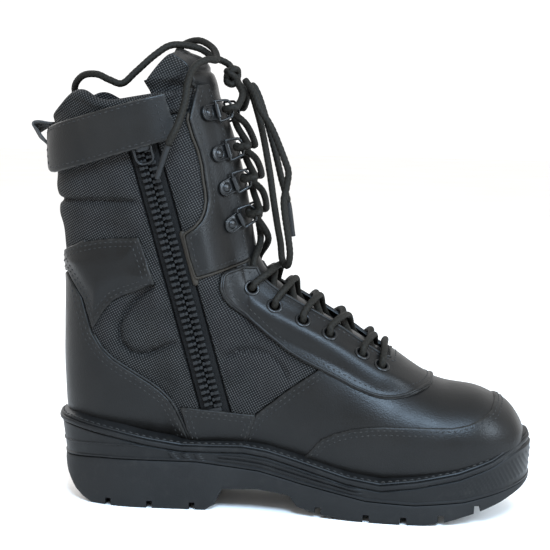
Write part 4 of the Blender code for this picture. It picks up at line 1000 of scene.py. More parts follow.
def cord_on(name, look, lines, height, radius, squash=1.0):
    """Piping or binding: a round cord laid along lines on the body."""
    parts = []
    for points, normals, closed in lines:
        both = resample(np.hstack([points, normals]), 1.2, closed)
        n = unit(both[:, 3:])
        path = both[:, :3] + n * height
        t = unit(np.roll(path, -1, 0) - np.roll(path, 1, 0) if closed else np.gradient(path, axis=0))
        side = unit(np.cross(t, n))
        r = np.full(len(path), radius)
        if not closed:
            r[[0, -1]] *= 0.5
        parts.append(tube_mesh(path, r, 10, closed, frames=(t, side, np.cross(t, side)), scale=(1.0, squash)))
    points, faces = join(parts)
    add_mesh(name, look, points, faces, attributes={"edge": np.full(len(points), 0.6)})


# ---------------------------------------------------------------- upper
COUNTER_FIELD = np.maximum.reduce([COUNTER_AREA, LOW, 0.7 - ANKLE])
PATCH_AREA = inside(LOWER_PATCH, X, Z)
FACING_FIELD = np.maximum.reduce([FACING_AREA, FRONT_GAP - ARC, (STATION - 18.7) * 20])
FACING_LAYER = (-0.45, 1.9)
STAY_LIFT = eyestay_lift(STATION, ARC)
ANKLE_PUFF = 1.3 * smoothstep(-ANKLE, 3, 12)


EYELET_STATIONS = [station_at(x, z) for x, z in EYELETS]
CLIP_STATIONS = [station_at(x, z) for x, z in CLIPS]


def eyelet_seat(t, side):
    """Centre and axes (towards the front, up, outward) of the eyelet at a station."""
    arc = float(lace_gap(t)) + EYELET_INSET
    lift = 0.3 + float(eyestay_lift(t, arc))
    return on_body(t, arc, side, lift + 0.8)[0], local_axes(t, arc, side)


def clip_seat(t, side):
    """Foot and axes of the clip at a station, the bar its ring turns about, and the way the ring points."""
    arc = float(lace_gap(t)) + CLIP_INSET
    axes = local_axes(t, arc, side)
    foot = on_body(t, arc, side, CLIP_LIFT)[0]
    ahead = axes[:, 0] * math.cos(RING_TILT) + axes[:, 2] * math.sin(RING_TILT)
    return foot, axes, foot + axes[:, 2] * BAR_HEIGHT, ahead


def make_shell():
    """The lining, the textile shaft, the vamp and the tongue, each with rounded edges."""
    panel("lining_visual", LINING_LOOK, (STATION - 18.3) * 20, (-5.2, -3.8), replaces="lining", toe=True)
    vamp = np.maximum.reduce([VAMP, LOW, 0.3 - TONGUE])
    panel("vamp_visual", LEATHER, vamp, VAMP_LAYER, replaces="vamp", radius=1.0, toe=True)
    quarter = np.maximum.reduce([0.3 - VAMP, LOW, 0.3 - TONGUE, SHAFT_EDGE])
    behind_zip = np.minimum(MEDIAL_D + 9.7, np.maximum(MEDIAL_D - 8.9, BEYOND_ZIP))
    panel("shaft_visual", TEXTILE_LOOK, np.maximum(quarter, behind_zip), TEXTILE, replaces="shaft_fabric")
    rear_quarter = np.maximum(quarter, 9.7 - MEDIAL_D)
    panel("quarter_visual", TEXTILE_LOOK, rear_quarter, TEXTILE, replaces="quarter_medial")
    rim = 18.6 + 0.75 * np.exp(-(((X + 136) / 13) ** 2))
    collar = np.maximum.reduce([(17.5 - STATION) * 24, (STATION - rim) * 20, 0.5 - FACING_AREA, 0.3 - TONGUE])
    roll = 1.6 * np.exp(-(((collar + 5.5) / 3.2) ** 2))
    made = panel("collar_visual", TEXTILE_LOOK, collar, (-3.5, 1.0), replaces="collar", radius=3.4, bulge=roll)
    swell = 2.2 * smoothstep(-TONGUE, 2, 13) * smoothstep(STATION, 17.8, 19.2)
    swell -= 1.1 * np.exp(-(((STATION - 19.4) * 14 / 1.6) ** 2)) * smoothstep(-TONGUE, 0, 6)
    swell += 3.4 * (1 - smoothstep(STATION, 5.3, 6.4)) * smoothstep(FRONT_GAP + 3 - ARC, 0, 6)
    front = np.maximum(TONGUE, ARC - FRONT_GAP - TONGUE_STRIP)
    made = panel("tongue_visual", LEATHER, front, (-1.8, 0.0), replaces="tongue", radius=1.2, bulge=swell)
    wing_layer = (-1.8 - WING_INSET, 0.0 - WING_INSET)
    made = panel("tongue_wings", TEXTILE_LOOK, WING, wing_layer, radius=1.2, bulge=swell)


def make_overlays():
    """The leather pieces stitched over the shell."""
    cap = np.maximum(CAP, LOW)
    panel("toe_cap_visual", LEATHER_CAP, cap, CAP_LAYER, replaces="toe_cap", radius=1.1, toe=True)
    panel("heel_counter_visual", LEATHER, COUNTER_FIELD, OVER, replaces="heel_counter", radius=1.0)
    made = panel("ankle_patch_visual", LEATHER, ANKLE, OVER, replaces="ankle_patch", radius=1.0,
                 bulge=ANKLE_PUFF)
    patch = np.maximum(PATCH_AREA, LOW)
    for name, side in SIDES:
        panel("lower_patch_" + name + "_visual", LEATHER, np.maximum(patch, -side * Y + 5), OVER,
              replaces="lower_patch_" + name)
        panel("facing_" + name + "_visual", LEATHER, np.maximum(FACING_FIELD, -side * Y), FACING_LAYER,
              replaces="facing_" + name, radius=1.0)


def make_eyestay():
    """The reinforced lower facings, lifted off the tongue, with a hole for each eyelet."""
    stay = EYESTAY_AREA
    outer = P + N * (STAY_LIFT + 1.1)[..., None]
    for t in EYELET_STATIONS:
        for _, side in SIDES:
            stay = np.maximum(stay, 3.7 - np.linalg.norm(outer - eyelet_seat(t, side)[0], axis=2))
    panel("eyestay_visual", LEATHER, stay, (0.3 + STAY_LIFT, 1.9 + STAY_LIFT), replaces="eyestay")


def make_seams():
    """Stitch rows, in thread that matches its panel, and the corded edges."""
    over_welt = line_z(WELT_TOP, X) + 1.5 - Z
    off_zip = np.maximum(over_welt, 9.0 - np.abs(MEDIAL_D))
    beside_stay = np.maximum(over_welt, 1.0 - EYESTAY_AREA)
    beside_ankle = np.maximum(over_welt, 1.5 - ANKLE)
    under_strap = np.maximum((STATION - 18.5) * 20, 3.5 - np.abs(Y))
    front_strip = np.maximum(TONGUE, ARC - FRONT_GAP - TONGUE_STRIP)
    stitches = []

    def row(field, offsets, height, show=over_welt, rise=RELIEF):
        for offset in offsets:
            stitches.extend(stitch_parts(contour(field, -offset, show, rise), height))

    row(CAP, (2.4, 5.0), CAP_LAYER[1])
    row(VAMP, (2.6, 5.4), VAMP_LAYER[1], beside_stay)
    row(COUNTER_AREA, (2.6, 5.6), OVER[1], beside_ankle)
    row(ANKLE, (2.4, 5.2), OVER[1], off_zip, RELIEF + ANKLE_PUFF)
    row(PATCH_AREA, (2.2, 4.8), OVER[1])
    row(np.maximum(FACING_AREA, FRONT_GAP - ARC), (3.0,), FACING_LAYER[1], under_strap)
    row(EYESTAY_AREA, (4.2,), 1.9, EVERYWHERE, STAY_LIFT)
    row(front_strip, (3.0,), 0.0, (18.8 - STATION) * 20)
    add_mesh("panel_stitching", THREAD, *join(stitches), outward=False)
    piping = contour(EYESTAY_AREA, -1.3, EVERYWHERE, STAY_LIFT)
    cord_on("eyestay_piping", LEATHER, piping, 1.7, 1.0)
    counter_line = contour(COUNTER_AREA, 0.9, np.maximum(over_welt, 2.5 - ANKLE))
    cord_on("counter_piping", LEATHER, counter_line, 0.15, 0.85)
    binding = contour(FACING_AREA, 0.9, np.maximum((STATION - 17.4) * 20, Y + 12))
    zip_edge = contour(MEDIAL_D, 9.3, np.maximum(143 - Z, Z - 177))
    cord_on("zip_edge_binding", EDGE, zip_edge, -0.6, 1.9, squash=0.55)
    cord_on("facing_binding", EDGE, binding, 0.4, 0.85)


# ---------------------------------------------------------------- sole
HEEL_SLOTS = (-114, -87, -60)
TREAD_SLOTS = (20, 50, 73, 96, 118)


def plan_ring(count):
    """Evenly spaced points on the sole's outline from above, and the outward direction at each."""
    dense = smooth_ring(SOLE_PLAN, 40)
    ring = np.vstack([dense, dense[:1]])
    run = run_of(ring)
    at = np.linspace(0, run[-1], count, endpoint=False)
    plan = np.stack([np.interp(at, run, ring[:, k]) for k in range(2)], 1)
    ahead = np.roll(plan, -1, 0) - np.roll(plan, 1, 0)
    out = unit(np.stack([ahead[:, 1], -ahead[:, 0]], 1))
    return plan, out * np.sign((out * (plan - plan.mean(axis=0))).sum(axis=1).mean())


PLAN, PLAN_OUT = plan_ring(760)


def plan_at(offset, z):
    """The sole's outline moved out by offset mm, at height z; both may vary round it."""
    moved = PLAN + PLAN_OUT * np.broadcast_to(offset, len(PLAN))[:, None]
    return np.column_stack([moved, np.broadcast_to(z, len(PLAN))])


def loft(name, look, rings, replaces=None):
    """A closed solid from stacked rings, its ends closed by strips across."""
    count = len(rings[0])
    faces = ring_faces(len(rings), count)
    for base in (0, (len(rings) - 1) * count):
        for k in range(count // 2):
            ring = (base + k, base + k + 1, base + (count - k - 1) % count, base + (count - k) % count)
            faces.append(tuple(dict.fromkeys(ring)))
    return add_mesh(name, look, np.vstack(rings), faces, sharp=40, replaces=replaces)


def rings_between(levels, steps):
    """Rings that step evenly from each (offset, height) level towards the next."""
    for (low, low_z), (high, high_z), count in zip(levels[:-1], levels[1:], steps, strict=True):
        for u in np.linspace(0, 1, count, endpoint=False):
            yield low * (1 - u) + high * u, low_z * (1 - u) + high_z * u


def bar(value, centre, half, soft=0.35):
    """1 within half of centre, falling to 0 over soft."""
    return 1 - smoothstep(np.abs(value - centre), half, half + soft)


def sidewall_relief(x, z, welt, split):
    """Moulded ribs, stripes and knurl of the midsole's wall (mm)."""
    share = (z - split) / (welt - split)
    wall = smoothstep(z, split + 1.5, split + 2.5) * (1 - smoothstep(z, welt - 7.0, welt - 6.2))
    long_rib = smoothstep(x, -46, -42) * (1 - smoothstep(x, 40, 50))
    relief = np.zeros_like(x)
    for level in (0.28, 0.46):
        relief += 0.95 * long_rib * bar(share, level, 0.04, 0.03)
    for start in (-73.0, -65.0, -57.0):
        relief += 0.9 * bar(x + 0.7 * (z - 36), start, 1.5, 0.6) * bar(share, 0.40, 0.26, 0.05)
    knurl = smoothstep(x, 98, 108)
    ridges = np.maximum(np.sin((x + 0.6 * z) * 2 * math.pi / 2.9), 0.0)
    relief += 0.4 * knurl * ridges * bar(share, 0.42, 0.2, 0.08)
    heel_line = 1 - smoothstep(x, -92, -84)
    relief += 0.6 * heel_line * bar(z - split, 9.5, 0.4, 0.35)
    return relief * wall


def heel_tuck(x):
    """How far (mm) the heel's wall stands back from the outline."""
    return 2.6 * (1 - smoothstep(x, -138, -100))


def nose_tuck(x):
    """How far (mm) the welt stands back from the outline at the toe."""
    return 1.9 * smoothstep(x, 118, 146)


def make_midsole():
    """The midsole's moulded wall, with the storm welt standing out along its top."""
    x = PLAN[:, 0]
    welt, split = line_z(WELT_TOP, x), line_z(SOLE_SPLIT, x)
    tuck = heel_tuck(x)
    nose = nose_tuck(x)
    levels = (
        (-2.2 - tuck, split + 0.3), (-0.7 - tuck, split + 0.6), (-0.6 - tuck, split + 1.5),
        (-1.2 - tuck, split + 2.1), (-0.3 - 0.3 * tuck, np.maximum(welt - 6.4, split + 3)),
        (-1.0 - 0.25 * tuck, np.maximum(welt - 5.6, split + 3.4)), (-nose, np.maximum(welt - 4.9, split + 4)),
        (0.6 - nose, np.maximum(welt - 4.3, split + 4.6)), (0.8 - nose, welt - 3.0), (0.5 - nose, welt - 2.0),
        (-0.4 - nose, welt - 1.5), (0.1 - nose, welt - 0.9), (-0.3 - nose, welt - 0.2), (-1.2 - nose, welt),
        (-2.6, welt + 0.6), (-5.0, welt + 1.4), (-8.5, welt + 2.4),
    )
    steps = (3, 3, 3, 44, 4, 4, 4, 8, 5, 5, 5, 5, 5, 3, 3, 2)
    rings = []
    for offset, z in rings_between(levels, steps):
        rings.append(plan_at(offset + sidewall_relief(x, z, welt, split), z))
    inner_foot = np.maximum(split + 0.6, feather(x) - 2.3)
    rings += [plan_at(-8.5, welt + 2.4), plan_at(-9.0, welt + 0.4), plan_at(-11.0, inner_foot)]
    loft("midsole_visual", RUBBER, rings, "midsole")
    make_welt_stitches(x, welt)


def make_welt_stitches(x, welt):
    """The stitches that run round the top of the welt."""
    line = plan_at(-1.5 - nose_tuck(x), welt + 0.1)
    up = np.tile((0.0, 0.0, 1.0), (len(line), 1))
    parts = stitch_parts([(line, up, True)], 0.15, pitch=4.4, length=3.5, width=1.0)
    add_mesh("welt_stitching", THREAD, *join(parts), outward=False)


def cut_blocks(made, blocks):
    """Cuts blocks out of a mesh and keeps the result as plain mesh."""
    cutter = add_mesh("cutter", TREAD, *join(blocks))
    modifier = made.modifiers.new("cut", "BOOLEAN")
    modifier.object = cutter
    modifier.operation = "DIFFERENCE"
    modifier.solver = "EXACT"
    graph = bpy.context.evaluated_depsgraph_get()
    data = bpy.data.meshes.new_from_object(made.evaluated_get(graph))
    made.modifiers.clear()
    made.data = data
    bpy.data.objects.remove(cutter)


def block(x0, x1, y0, y1, z0, z1, lean=0.0):
    """Corners and faces of a box whose top is lean mm narrower on each side."""
    points = [(x, y, z0) for x in (x0, x1) for y in (y0, y1)]
    points += [(x, y, z1) for x in (x0 + lean, x1 - lean) for y in (y0, y1)]
    faces = [(0, 2, 3, 1), (4, 5, 7, 6), (0, 1, 5, 4), (2, 6, 7, 3), (0, 4, 6, 2), (1, 3, 7, 5)]
    return points, faces


def make_outsole():
    """The tread, with its slots across and a groove along the heel and the forefoot."""
    x = PLAN[:, 0]
    ground, split = line_z(SOLE_BOTTOM, x), line_z(SOLE_SPLIT, x)
    depth = split - ground
    tuck = heel_tuck(x)
    levels = (
        (-3.2 - tuck, ground), (-2.4 - tuck, ground + 0.01 * depth), (-1.5 - tuck, ground + 0.05 * depth),
        (-1.1 - tuck, ground + 0.12 * depth), (-0.8 - tuck, ground + 0.5 * depth),
        (-1.0 - tuck, split - 0.05 * depth), (-1.2 - tuck, split - 0.02 * depth), (-1.8 - tuck, split),
    )
    rings = [plan_at(offset, z) for offset, z in rings_between(levels, [4] * (len(levels) - 1))]
    rings.append(plan_at(*levels[-1]))
    made = loft("outsole_visual", TREAD, rings)
    across = []
    for middle in HEEL_SLOTS + TREAD_SLOTS:
        top = float(line_z(SOLE_BOTTOM, middle)) + 5
        across.append(block(middle - 2.4, middle + 2.4, -70, 70, -6, top, 0.6))
    cut_blocks(made, across)
    cut_blocks(made, [block(-143, -52.5, -3, 3, -5, 5), block(14, 128, -3, 3, -5, 5)])
    made.data.shade_smooth()
    made.data.set_sharp_from_angle(angle=math.radians(35))
    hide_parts("outsole")


# ---------------------------------------------------------------- zip
ZIP_AXES = np.stack([ZIP_ALONG, ZIP_ACROSS, ZIP_NORMAL], 1)
TOOTH_PITCH = 3.9
TOOTH_COUNT = 45


def on_zip(s, d, h):
    """A point s down the zip from its top, d across it towards the toe and h off it."""
    return ZIP_START + ZIP_AXES @ np.array((s, d, h), float)


def rounded_bar(size, bevel, segments=3):
    """Points and faces of a box with rounded edges, centred on zero."""
    mesh = bmesh.new()
    bmesh.ops.create_cube(mesh, size=1.0)
    bmesh.ops.scale(mesh, vec=size, verts=mesh.verts)
    bmesh.ops.bevel(mesh, geom=list(mesh.edges), offset=bevel, segments=segments, profile=0.6, affect="EDGES")
    points = np.array([v.co for v in mesh.verts])
    index = {v: k for k, v in enumerate(mesh.verts)}
    faces = [tuple(index[v] for v in face.verts) for face in mesh.faces]
    mesh.free()
    return points, faces


def placed(part, centre, axes=((1, 0, 0), (0, 1, 0), (0, 0, 1))):
    """A part's points and faces, moved to centre and turned to the axes (columns)."""
    points, faces = part
    return np.asarray(centre) + points @ np.asarray(axes).T, faces


def make_tooth():
    """One moulded tooth: a rounded block that grips the tape, a neck and a narrower nose. +Y is its nose."""
    root, nose, head = ((2.3, 3.0, 2.3), -0.6), ((1.5, 2.6, 1.9), 1.6), ((2.3, 1.5, 1.8), 2.5)
    return join([placed(rounded_bar(size, 0.5), (0.0, y, 0.0)) for size, y in (root, nose, head)])


TAPE_SECTION = (
    (0.9, -0.15), (1.2, 0.15), (2.2, 0.35), (3.4, 0.25), (4.4, 0.0), (8.1, 0.0), (8.4, -0.3), (8.1, -0.7),
    (1.2, -0.7), (0.9, -0.4),
)


def make_zip():
    """Two beaded, slightly wavy tapes, two rows of teeth half a pitch apart, and the bottom stop."""
    first = ZIP_LENGTH - 1.5 - TOOTH_COUNT * TOOTH_PITCH
    tooth = make_tooth()
    for name, side in (("rear", -1.0), ("front", 1.0)):
        rings = []
        for s in np.linspace(2.5, ZIP_LENGTH + 9.5, 180):
            wave = 0.10 * math.sin(s * 2 * math.pi / 11.0)
            rings.append([on_zip(s, side * d, h - 0.95 + wave * smoothstep(d, 4, 8)) for d, h in TAPE_SECTION])
        add_rings("zip_tape_" + name + "_visual", TAPE_LOOK, rings, "zip_tape_" + name)
        axes = np.stack([ZIP_ALONG, -side * ZIP_ACROSS, ZIP_NORMAL], 1)
        parts = []
        for k in range(TOOTH_COUNT):
            s = first + (k + 0.5 + (0.5 if side > 0 else 0.0)) * TOOTH_PITCH
            if s < ZIP_LENGTH - 1.0:
                parts.append(placed(tooth, on_zip(s, side * 3.4, 0.35), axes))
        teeth = "zip_teeth_" + name
        add_mesh(teeth + "_visual", PLASTIC, *join(parts), sharp=50, replaces=teeth)
    stop = placed(rounded_bar((3.0, 8.6, 1.6), 0.6), on_zip(ZIP_LENGTH + 1.4, 0, -0.4), ZIP_AXES)
    add_mesh("zip_stop_bottom", PLASTIC, *stop, sharp=50, outward=False)


def add_rings(name, look, rings, replaces):
    """A closed solid from equal rings, with flat ends."""
    points = np.array(rings)
    rows, count = points.shape[:2]
    faces = end_faces(rows, count) + ring_faces(rows, count)
    add_mesh(name, look, points.reshape(-1, 3), faces, sharp=50, replaces=replaces)


def slab(outline, low, high, edge=0.5):
    """A plate from an outline, low to high, with its upper and lower rims rounded by edge."""
    outline = np.array(outline, float)
    middle = outline.mean(axis=0)
    rings = []
    for share, h in ((1.0, low), (0.35, low), (0.0, low + edge), (0.0, high - edge), (0.3, high - 0.25 * edge),
                     (1.0, high)):
        shrink = outline - middle
        shrink = shrink * (1 - share * edge / np.linalg.norm(shrink, axis=1, keepdims=True))
        rings.append(np.column_stack([middle + shrink, np.full(len(outline), h)]))
    return np.vstack(rings), end_faces(len(rings), len(outline)) + ring_faces(len(rings), len(outline))


def make_slider():
    """Two shoulders that narrow towards the closed end, a neck, and the bridge that carries the pull."""
    half = ((0.2, 3.4), (1.0, 5.2), (3.0, 6.1), (6.0, 6.3), (9.5, 5.6), (13.0, 4.6), (14.6, 3.8), (15.0, 2.6))
    outline = [(s, d) for s, d in half] + [(s, -d) for s, d in half[::-1]]
    outline = resample(np.array(outline), 0.8, closed=True)
    upper = slab(outline, 1.8, 3.5, 0.55)
    lower = slab(np.column_stack([outline[:, 0] * 0.9 + 0.4, outline[:, 1] * 0.74]), -3.3, -2.3, 0.35)
    neck = placed(rounded_bar((4.2, 1.2, 5.6), 0.3), (3.3, 0, -0.3))
    arch = [(2.8, 0, 3.0), (2.7, 0, 4.6), (3.4, 0, 5.8), (5.0, 0, 6.3), (8.0, 0, 6.3), (9.7, 0, 5.8),
            (10.3, 0, 4.6), (10.2, 0, 3.0)]
    path = smooth_route(arch, 0.5)
    frames = band_frames(path, (0.0, 1.0, 0.0))
    bridge = tube_mesh(path, np.full(len(path), 1.0), 14, frames=frames, scale=(1.35, 0.55))
    flanges = [placed(rounded_bar((11.0, 0.9, 1.7), 0.3), (7.5, y, 1.5)) for y in (-5.3, 5.3)]
    whole = placed(join([upper, lower, neck, bridge, *flanges]), ZIP_START, ZIP_AXES)
    add_mesh("zip_slider_visual", METAL, *whole, "slider", sharp=45, replaces="zip_slider")
    outline = ((6.5, -4.6, 4.5), (6.5, 4.6, 4.5), (7.3, 5.4, 4.5), (11.5, 5.5, 4.6), (15.5, 5.4, 4.5),
               (19.5, 5.2, 3.6), (22.0, 3.6, 3.1), (22.6, 0.0, 3.0), (22.0, -3.6, 3.1), (19.5, -5.2, 3.6),
               (15.5, -5.4, 4.5), (11.5, -5.5, 4.6), (7.3, -5.4, 4.5))
    loop = round_loop([on_zip(*p) for p in outline], 0.5)
    points, faces = tube_mesh(loop, np.full(len(loop), 0.78), 14, closed=True)
    add_mesh("zip_pull_visual", METAL, points, faces, "pull", replaces="zip_pull")


# ---------------------------------------------------------------- strap and heel loop
STRAP_STATION = 22.0


def find_at(t, x):
    """Distance round from the front centre where the medial side passes x at station t."""
    i = int(np.argmin(np.abs(ROWS - t)))
    order = np.arange(COLUMNS // 2, -1, -1)
    return float(np.interp(-x, -P[i, order, 0], ARC[i, order]))


def strap_lines():
    """Arcs from the hinge backwards, with the stations of the strap's lower and upper edge and its lift."""
    first = find_at(17.5, STRAP_FRONT)
    last = ARC[int(np.argmin(np.abs(ROWS - 17.2))), 0] - 8.0
    key = np.concatenate([np.linspace(first, last - 14, 12), last - np.array([8.0, 3.5, 1.0, 0.0])])
    share = (key - first) / (last - first)
    cut = np.concatenate([np.zeros(12), [0.06, 0.17, 0.32, 0.52]]) * 0.62
    over_zip = find_at(17.0, -95.0)
    arcs = np.concatenate([np.linspace(first, last - 14, 70), np.linspace(last - 13.2, last, 26)])
    low = np.interp(arcs, key, 16.5 + 0.1 * share + cut)
    high = np.interp(arcs, key, 18.45 - 0.55 * share - cut)
    hump = 3.6 * np.exp(-(((arcs - over_zip) / 17.0) ** 4))
    return arcs, low, high, 3.6 + hump, over_zip, first, last


def sheet_ring(count, thickness, edge):
    """Shares across a sheet and heights through it, once round its rounded cross-section."""
    top = np.linspace(0.0, 1.0, count)
    ring = [(u, thickness, 0.0) for u in top[1:-1]]
    for a in np.radians((75, 45, 15, -15, -45, -75)):
        ring.append((1.0, thickness / 2 + thickness / 2 * math.sin(a), edge * (math.cos(a) - 1)))
    ring += [(u, 0.0, 0.0) for u in top[1:-1][::-1]]
    for a in np.radians((-75, -45, -15, 15, 45, 75)):
        ring.append((0.0, thickness / 2 + thickness / 2 * math.sin(a), edge * (math.cos(a) - 1)))
    return ring


def body_sheet(name, look, arcs, low, high, lift, thickness, body, replaces=None):
    """A sheet over the medial side with rounded edges and ends, from its stations and lift at each arc."""
    half = 24
    ring = sheet_ring(half + 2, thickness, min(thickness / 2, 0.9))
    rings = []
    for k, arc in enumerate(arcs):
        row = []
        span = (high[k] - low[k]) * STRAP_STATION
        for u, h, inset in ring:
            share = u + (-inset if u == 0.0 else inset if u == 1.0 else 0.0) / span
            share = min(max(share, 0.0), 1.0)
            t = low[k] + (high[k] - low[k]) * share
            row.append(on_body(t, arc, -1, lift[k] + h)[0])
        rings.append(row)
    rings = np.array(rings)
    count = rings.shape[1]
    faces = ring_faces(len(rings), count)
    for base in (0, (len(rings) - 1) * count):
        top = [base + k for k in range(half)]
        bottom = [base + half + 6 + k for k in range(half)][::-1]
        for k in range(half - 1):
            faces.append((top[k], top[k + 1], bottom[k + 1], bottom[k]))
        faces.append((top[-1], *[base + half + k for k in range(6)], bottom[-1]))
        faces.append((bottom[0], *[base + 2 * half + 6 + k for k in range(6)], top[0]))
    edge = np.array([1.0 if u in (0.0, 1.0) else 0.0 for u, _, _ in ring] * len(rings))
    edge[:count] = 1.0
    edge[-3 * count :] = 1.0
    add_mesh(name, look, rings.reshape(-1, 3), faces, body, attributes={"edge": edge}, sharp=60,
             replaces=replaces)


def make_strap():
    """The strap with its stitching and hook tape, and the loop patch it closes on."""
    arcs, low, high, lift, over_zip, first, last = strap_lines()
    thick = 2.0
    body_sheet("strap_visual", LEATHER_STRAP, arcs, low, high, lift, thick, "strap_flap", "strap")
    inset = 3.2 / STRAP_STATION
    start, stop = 4, len(arcs) - 14
    rows = [[(edge[k] + step, k) for k in range(start, stop)] for edge, step in ((low, inset), (high, -inset))]
    for k in (start, stop):
        rows.append([(t, k) for t in np.linspace(low[k] + inset, high[k] - inset, 16)])
    lines = []
    for row in rows:
        points, normals = zip(*(on_body(t, arcs[k], -1, lift[k] + thick) for t, k in row), strict=True)
        lines.append((np.array(points), np.array(normals), False))
    parts = stitch_parts(lines, 0.1, pitch=4.2, length=3.1)
    add_mesh("strap_stitching", THREAD, *join(parts), "strap_flap", outward=False)
    hook_arcs = np.linspace(over_zip + 24, last - 12, 30)
    share = (hook_arcs - first) / (last - first)
    hook_low, hook_high = 16.5 + 0.1 * share + 0.22, 18.45 - 0.55 * share - 0.22
    body_sheet("strap_hook_tape", HOOKS, hook_arcs, hook_low, hook_high, np.full(30, 2.45), 1.05, "strap_flap")
    patch_arcs = np.linspace(over_zip + 22, last - 10, 34)
    patch_low, patch_high, patch_lift = (np.full(34, value) for value in (16.75, 17.85, 1.1))
    body_sheet("loop_patch_visual", HOOKS, patch_arcs, patch_low, patch_high, patch_lift, 1.15, "boot",
               "strap_loop_patch")


def make_pull_loop():
    """A folded loop of webbing sewn to the back of the collar."""
    path = smooth_route(((-157.7, 241.0), (-160.5, 240.6), (-166.5, 239.6), (-170.2, 238.0), (-170.4, 235.8),
                         (-167.6, 233.0), (-164.5, 229.6), (-161.2, 227.0), (-158.6, 225.2),
                         (-157.7, 224.4)), 0.5)
    route = np.column_stack([path[:, 0], np.zeros(len(path)), path[:, 1]])
    _, side, across = band_frames(route, (0.0, 1.0, 0.0))
    half, thick = 7.9, 0.75
    ring = [(y, thick) for y in np.linspace(-half, half, 14)]
    ring += [(half + 0.35, 0.3), (half + 0.35, -0.3)]
    ring += [(y, -thick) for y in np.linspace(half, -half, 14)]
    ring += [(-half - 0.35, -0.3), (-half - 0.35, 0.3)]
    slant = -0.45 * np.sin(math.pi * np.linspace(0, 1, len(route))) ** 1.5
    rings = []
    for k, centre in enumerate(route):
        ahead = side[k] + np.array((0.0, 0.0, slant[k]))
        rings.append([centre + ahead * y + across[k] * (h + 0.12 * math.cos(y * 2.1)) for y, h in ring])
    add_rings("pull_loop_visual", WEBBING, rings, "pull_loop")


# ---------------------------------------------------------------- eyelets, clips and rings
def revolve(profile, centre, axes, segments=36):
    """Points and faces of a closed turned ring."""
    points = []
    for k in range(segments):
        a = 2 * math.pi * k / segments
        for r, h in profile:
            points.append(centre + axes @ np.array((r * math.cos(a), r * math.sin(a), h)))
    return np.array(points), ring_faces(segments, len(profile), closed=True)


def make_eyelets():
    """Each eyelet is a rolled rim over a barrel with a flange inside."""
    roll = np.radians(np.linspace(-60, 150, 10))
    rim = [(4.25 + 1.05 * math.cos(a), 1.0 + 0.75 * math.sin(a)) for a in roll]
    barrel = [(3.15, 0.9), (3.15, -0.9), (3.5, -1.4), (5.0, -1.4), (5.0, -1.05), (3.7, -1.05), (3.6, 0.4)]
    for k, t in enumerate(EYELET_STATIONS):
        for side_name, side in SIDES:
            name = f"eyelet_{side_name}_{k + 1}"
            shape = revolve(rim + barrel, *eyelet_seat(t, side))
            add_mesh(name + "_visual", METAL, *shape, sharp=50, replaces=name)


def clip_outline(width=10.0, length=12.6):
    """A plate with a round rear end; x runs from the rear to the fold."""
    half = width / 2
    turn = np.radians(np.linspace(-88, 88, 17))
    arc = [(-length + half - half * math.cos(a), half * math.sin(a)) for a in turn]
    return [(0.0, -half), *arc, (0.0, half)]


def curl_shape():
    """The fold of a clip that holds its ring: a strip curled round the bar."""
    turn = np.radians(np.linspace(-90, 160, 20))
    outer = [(1.9 * math.cos(a), 1.9 + 1.9 * math.sin(a)) for a in turn]
    inner = [(1.1 * math.cos(a), 1.9 + 1.1 * math.sin(a)) for a in turn[::-1]]
    curl = outer + inner
    count = len(curl)
    points = [(u, w, h) for w in (-4.25, 4.25) for u, h in curl]
    faces = [(m, (m + 1) % count, count + (m + 1) % count, count + m) for m in range(count)]
    for base in (0, count):
        for m in range(count // 2 - 1):
            faces.append((base + m, base + m + 1, base + count - m - 2, base + count - m - 1))
    return np.array(points), faces


def clip_shape():
    """A folded plate with a raised lip, on a washer, held by a dome rivet with a ring round it."""
    plate = slab(resample(np.array(clip_outline()), 0.7, closed=True), 0.0, 0.8, 0.22)
    washer = slab(resample(np.array(clip_outline(8.4, 12.0)), 0.9, closed=True), -1.0, 0.02, 0.2)
    lip = resample(np.array(clip_outline(9.0, 12.1)), 0.6, closed=True)
    lip = np.column_stack([lip, np.full(len(lip), 0.85)])
    lip = tube_mesh(lip, np.full(len(lip), 0.5), 10, closed=True)
    dome = [(2.9 * math.sin(a), 0.8 + 1.4 * math.cos(a)) for a in np.radians(np.linspace(90, 3, 9))]
    rivet_at = np.array((-6.6, 0.0, 0.0))
    rivet = revolve([(2.9, 0.7), *dome, (0.05, 0.7)], rivet_at, np.eye(3), 24)
    rim = [(3.3 + 0.45 * math.cos(a), 0.8 + 0.4 * math.sin(a)) for a in np.radians(np.arange(0, 360, 45))]
    return join([plate, washer, lip, curl_shape(), rivet, revolve(rim, rivet_at, np.eye(3), 24)])


def ring_outline():
    """A D: its straight bar at 0, its bow RING_REACH ahead."""
    turn = np.radians(np.linspace(60, -60, 7))
    bow = [(RING_REACH - 5.2 + 5.2 * math.cos(a), 6.27 * math.sin(a)) for a in turn]
    return [(0, -5.6), (0, -2.5), (0, 2.5), (0, 5.6), (0.9, 6.4), *bow, (0.9, -6.4)]


def make_clips():
    """The eight clips, and the ring that hangs in each clip's fold."""
    clip = clip_shape()
    for k, t in enumerate(CLIP_STATIONS):
        for side_name, side in SIDES:
            name = f"{side_name}_{k + 1}"
            foot, axes, pivot, ahead = clip_seat(t, side)
            clip_name = "clip_" + name
            add_mesh(clip_name + "_visual", METAL, *placed(clip, foot, axes), sharp=45, replaces=clip_name)
            loop = round_loop([pivot + ahead * u + axes[:, 1] * w for u, w in ring_outline()], 0.5)
            points, faces = tube_mesh(loop, np.full(len(loop), 0.8), 14, closed=True)
            ring = "ring_" + name
            add_mesh(ring + "_visual", METAL, points, faces, ring, replaces=ring)


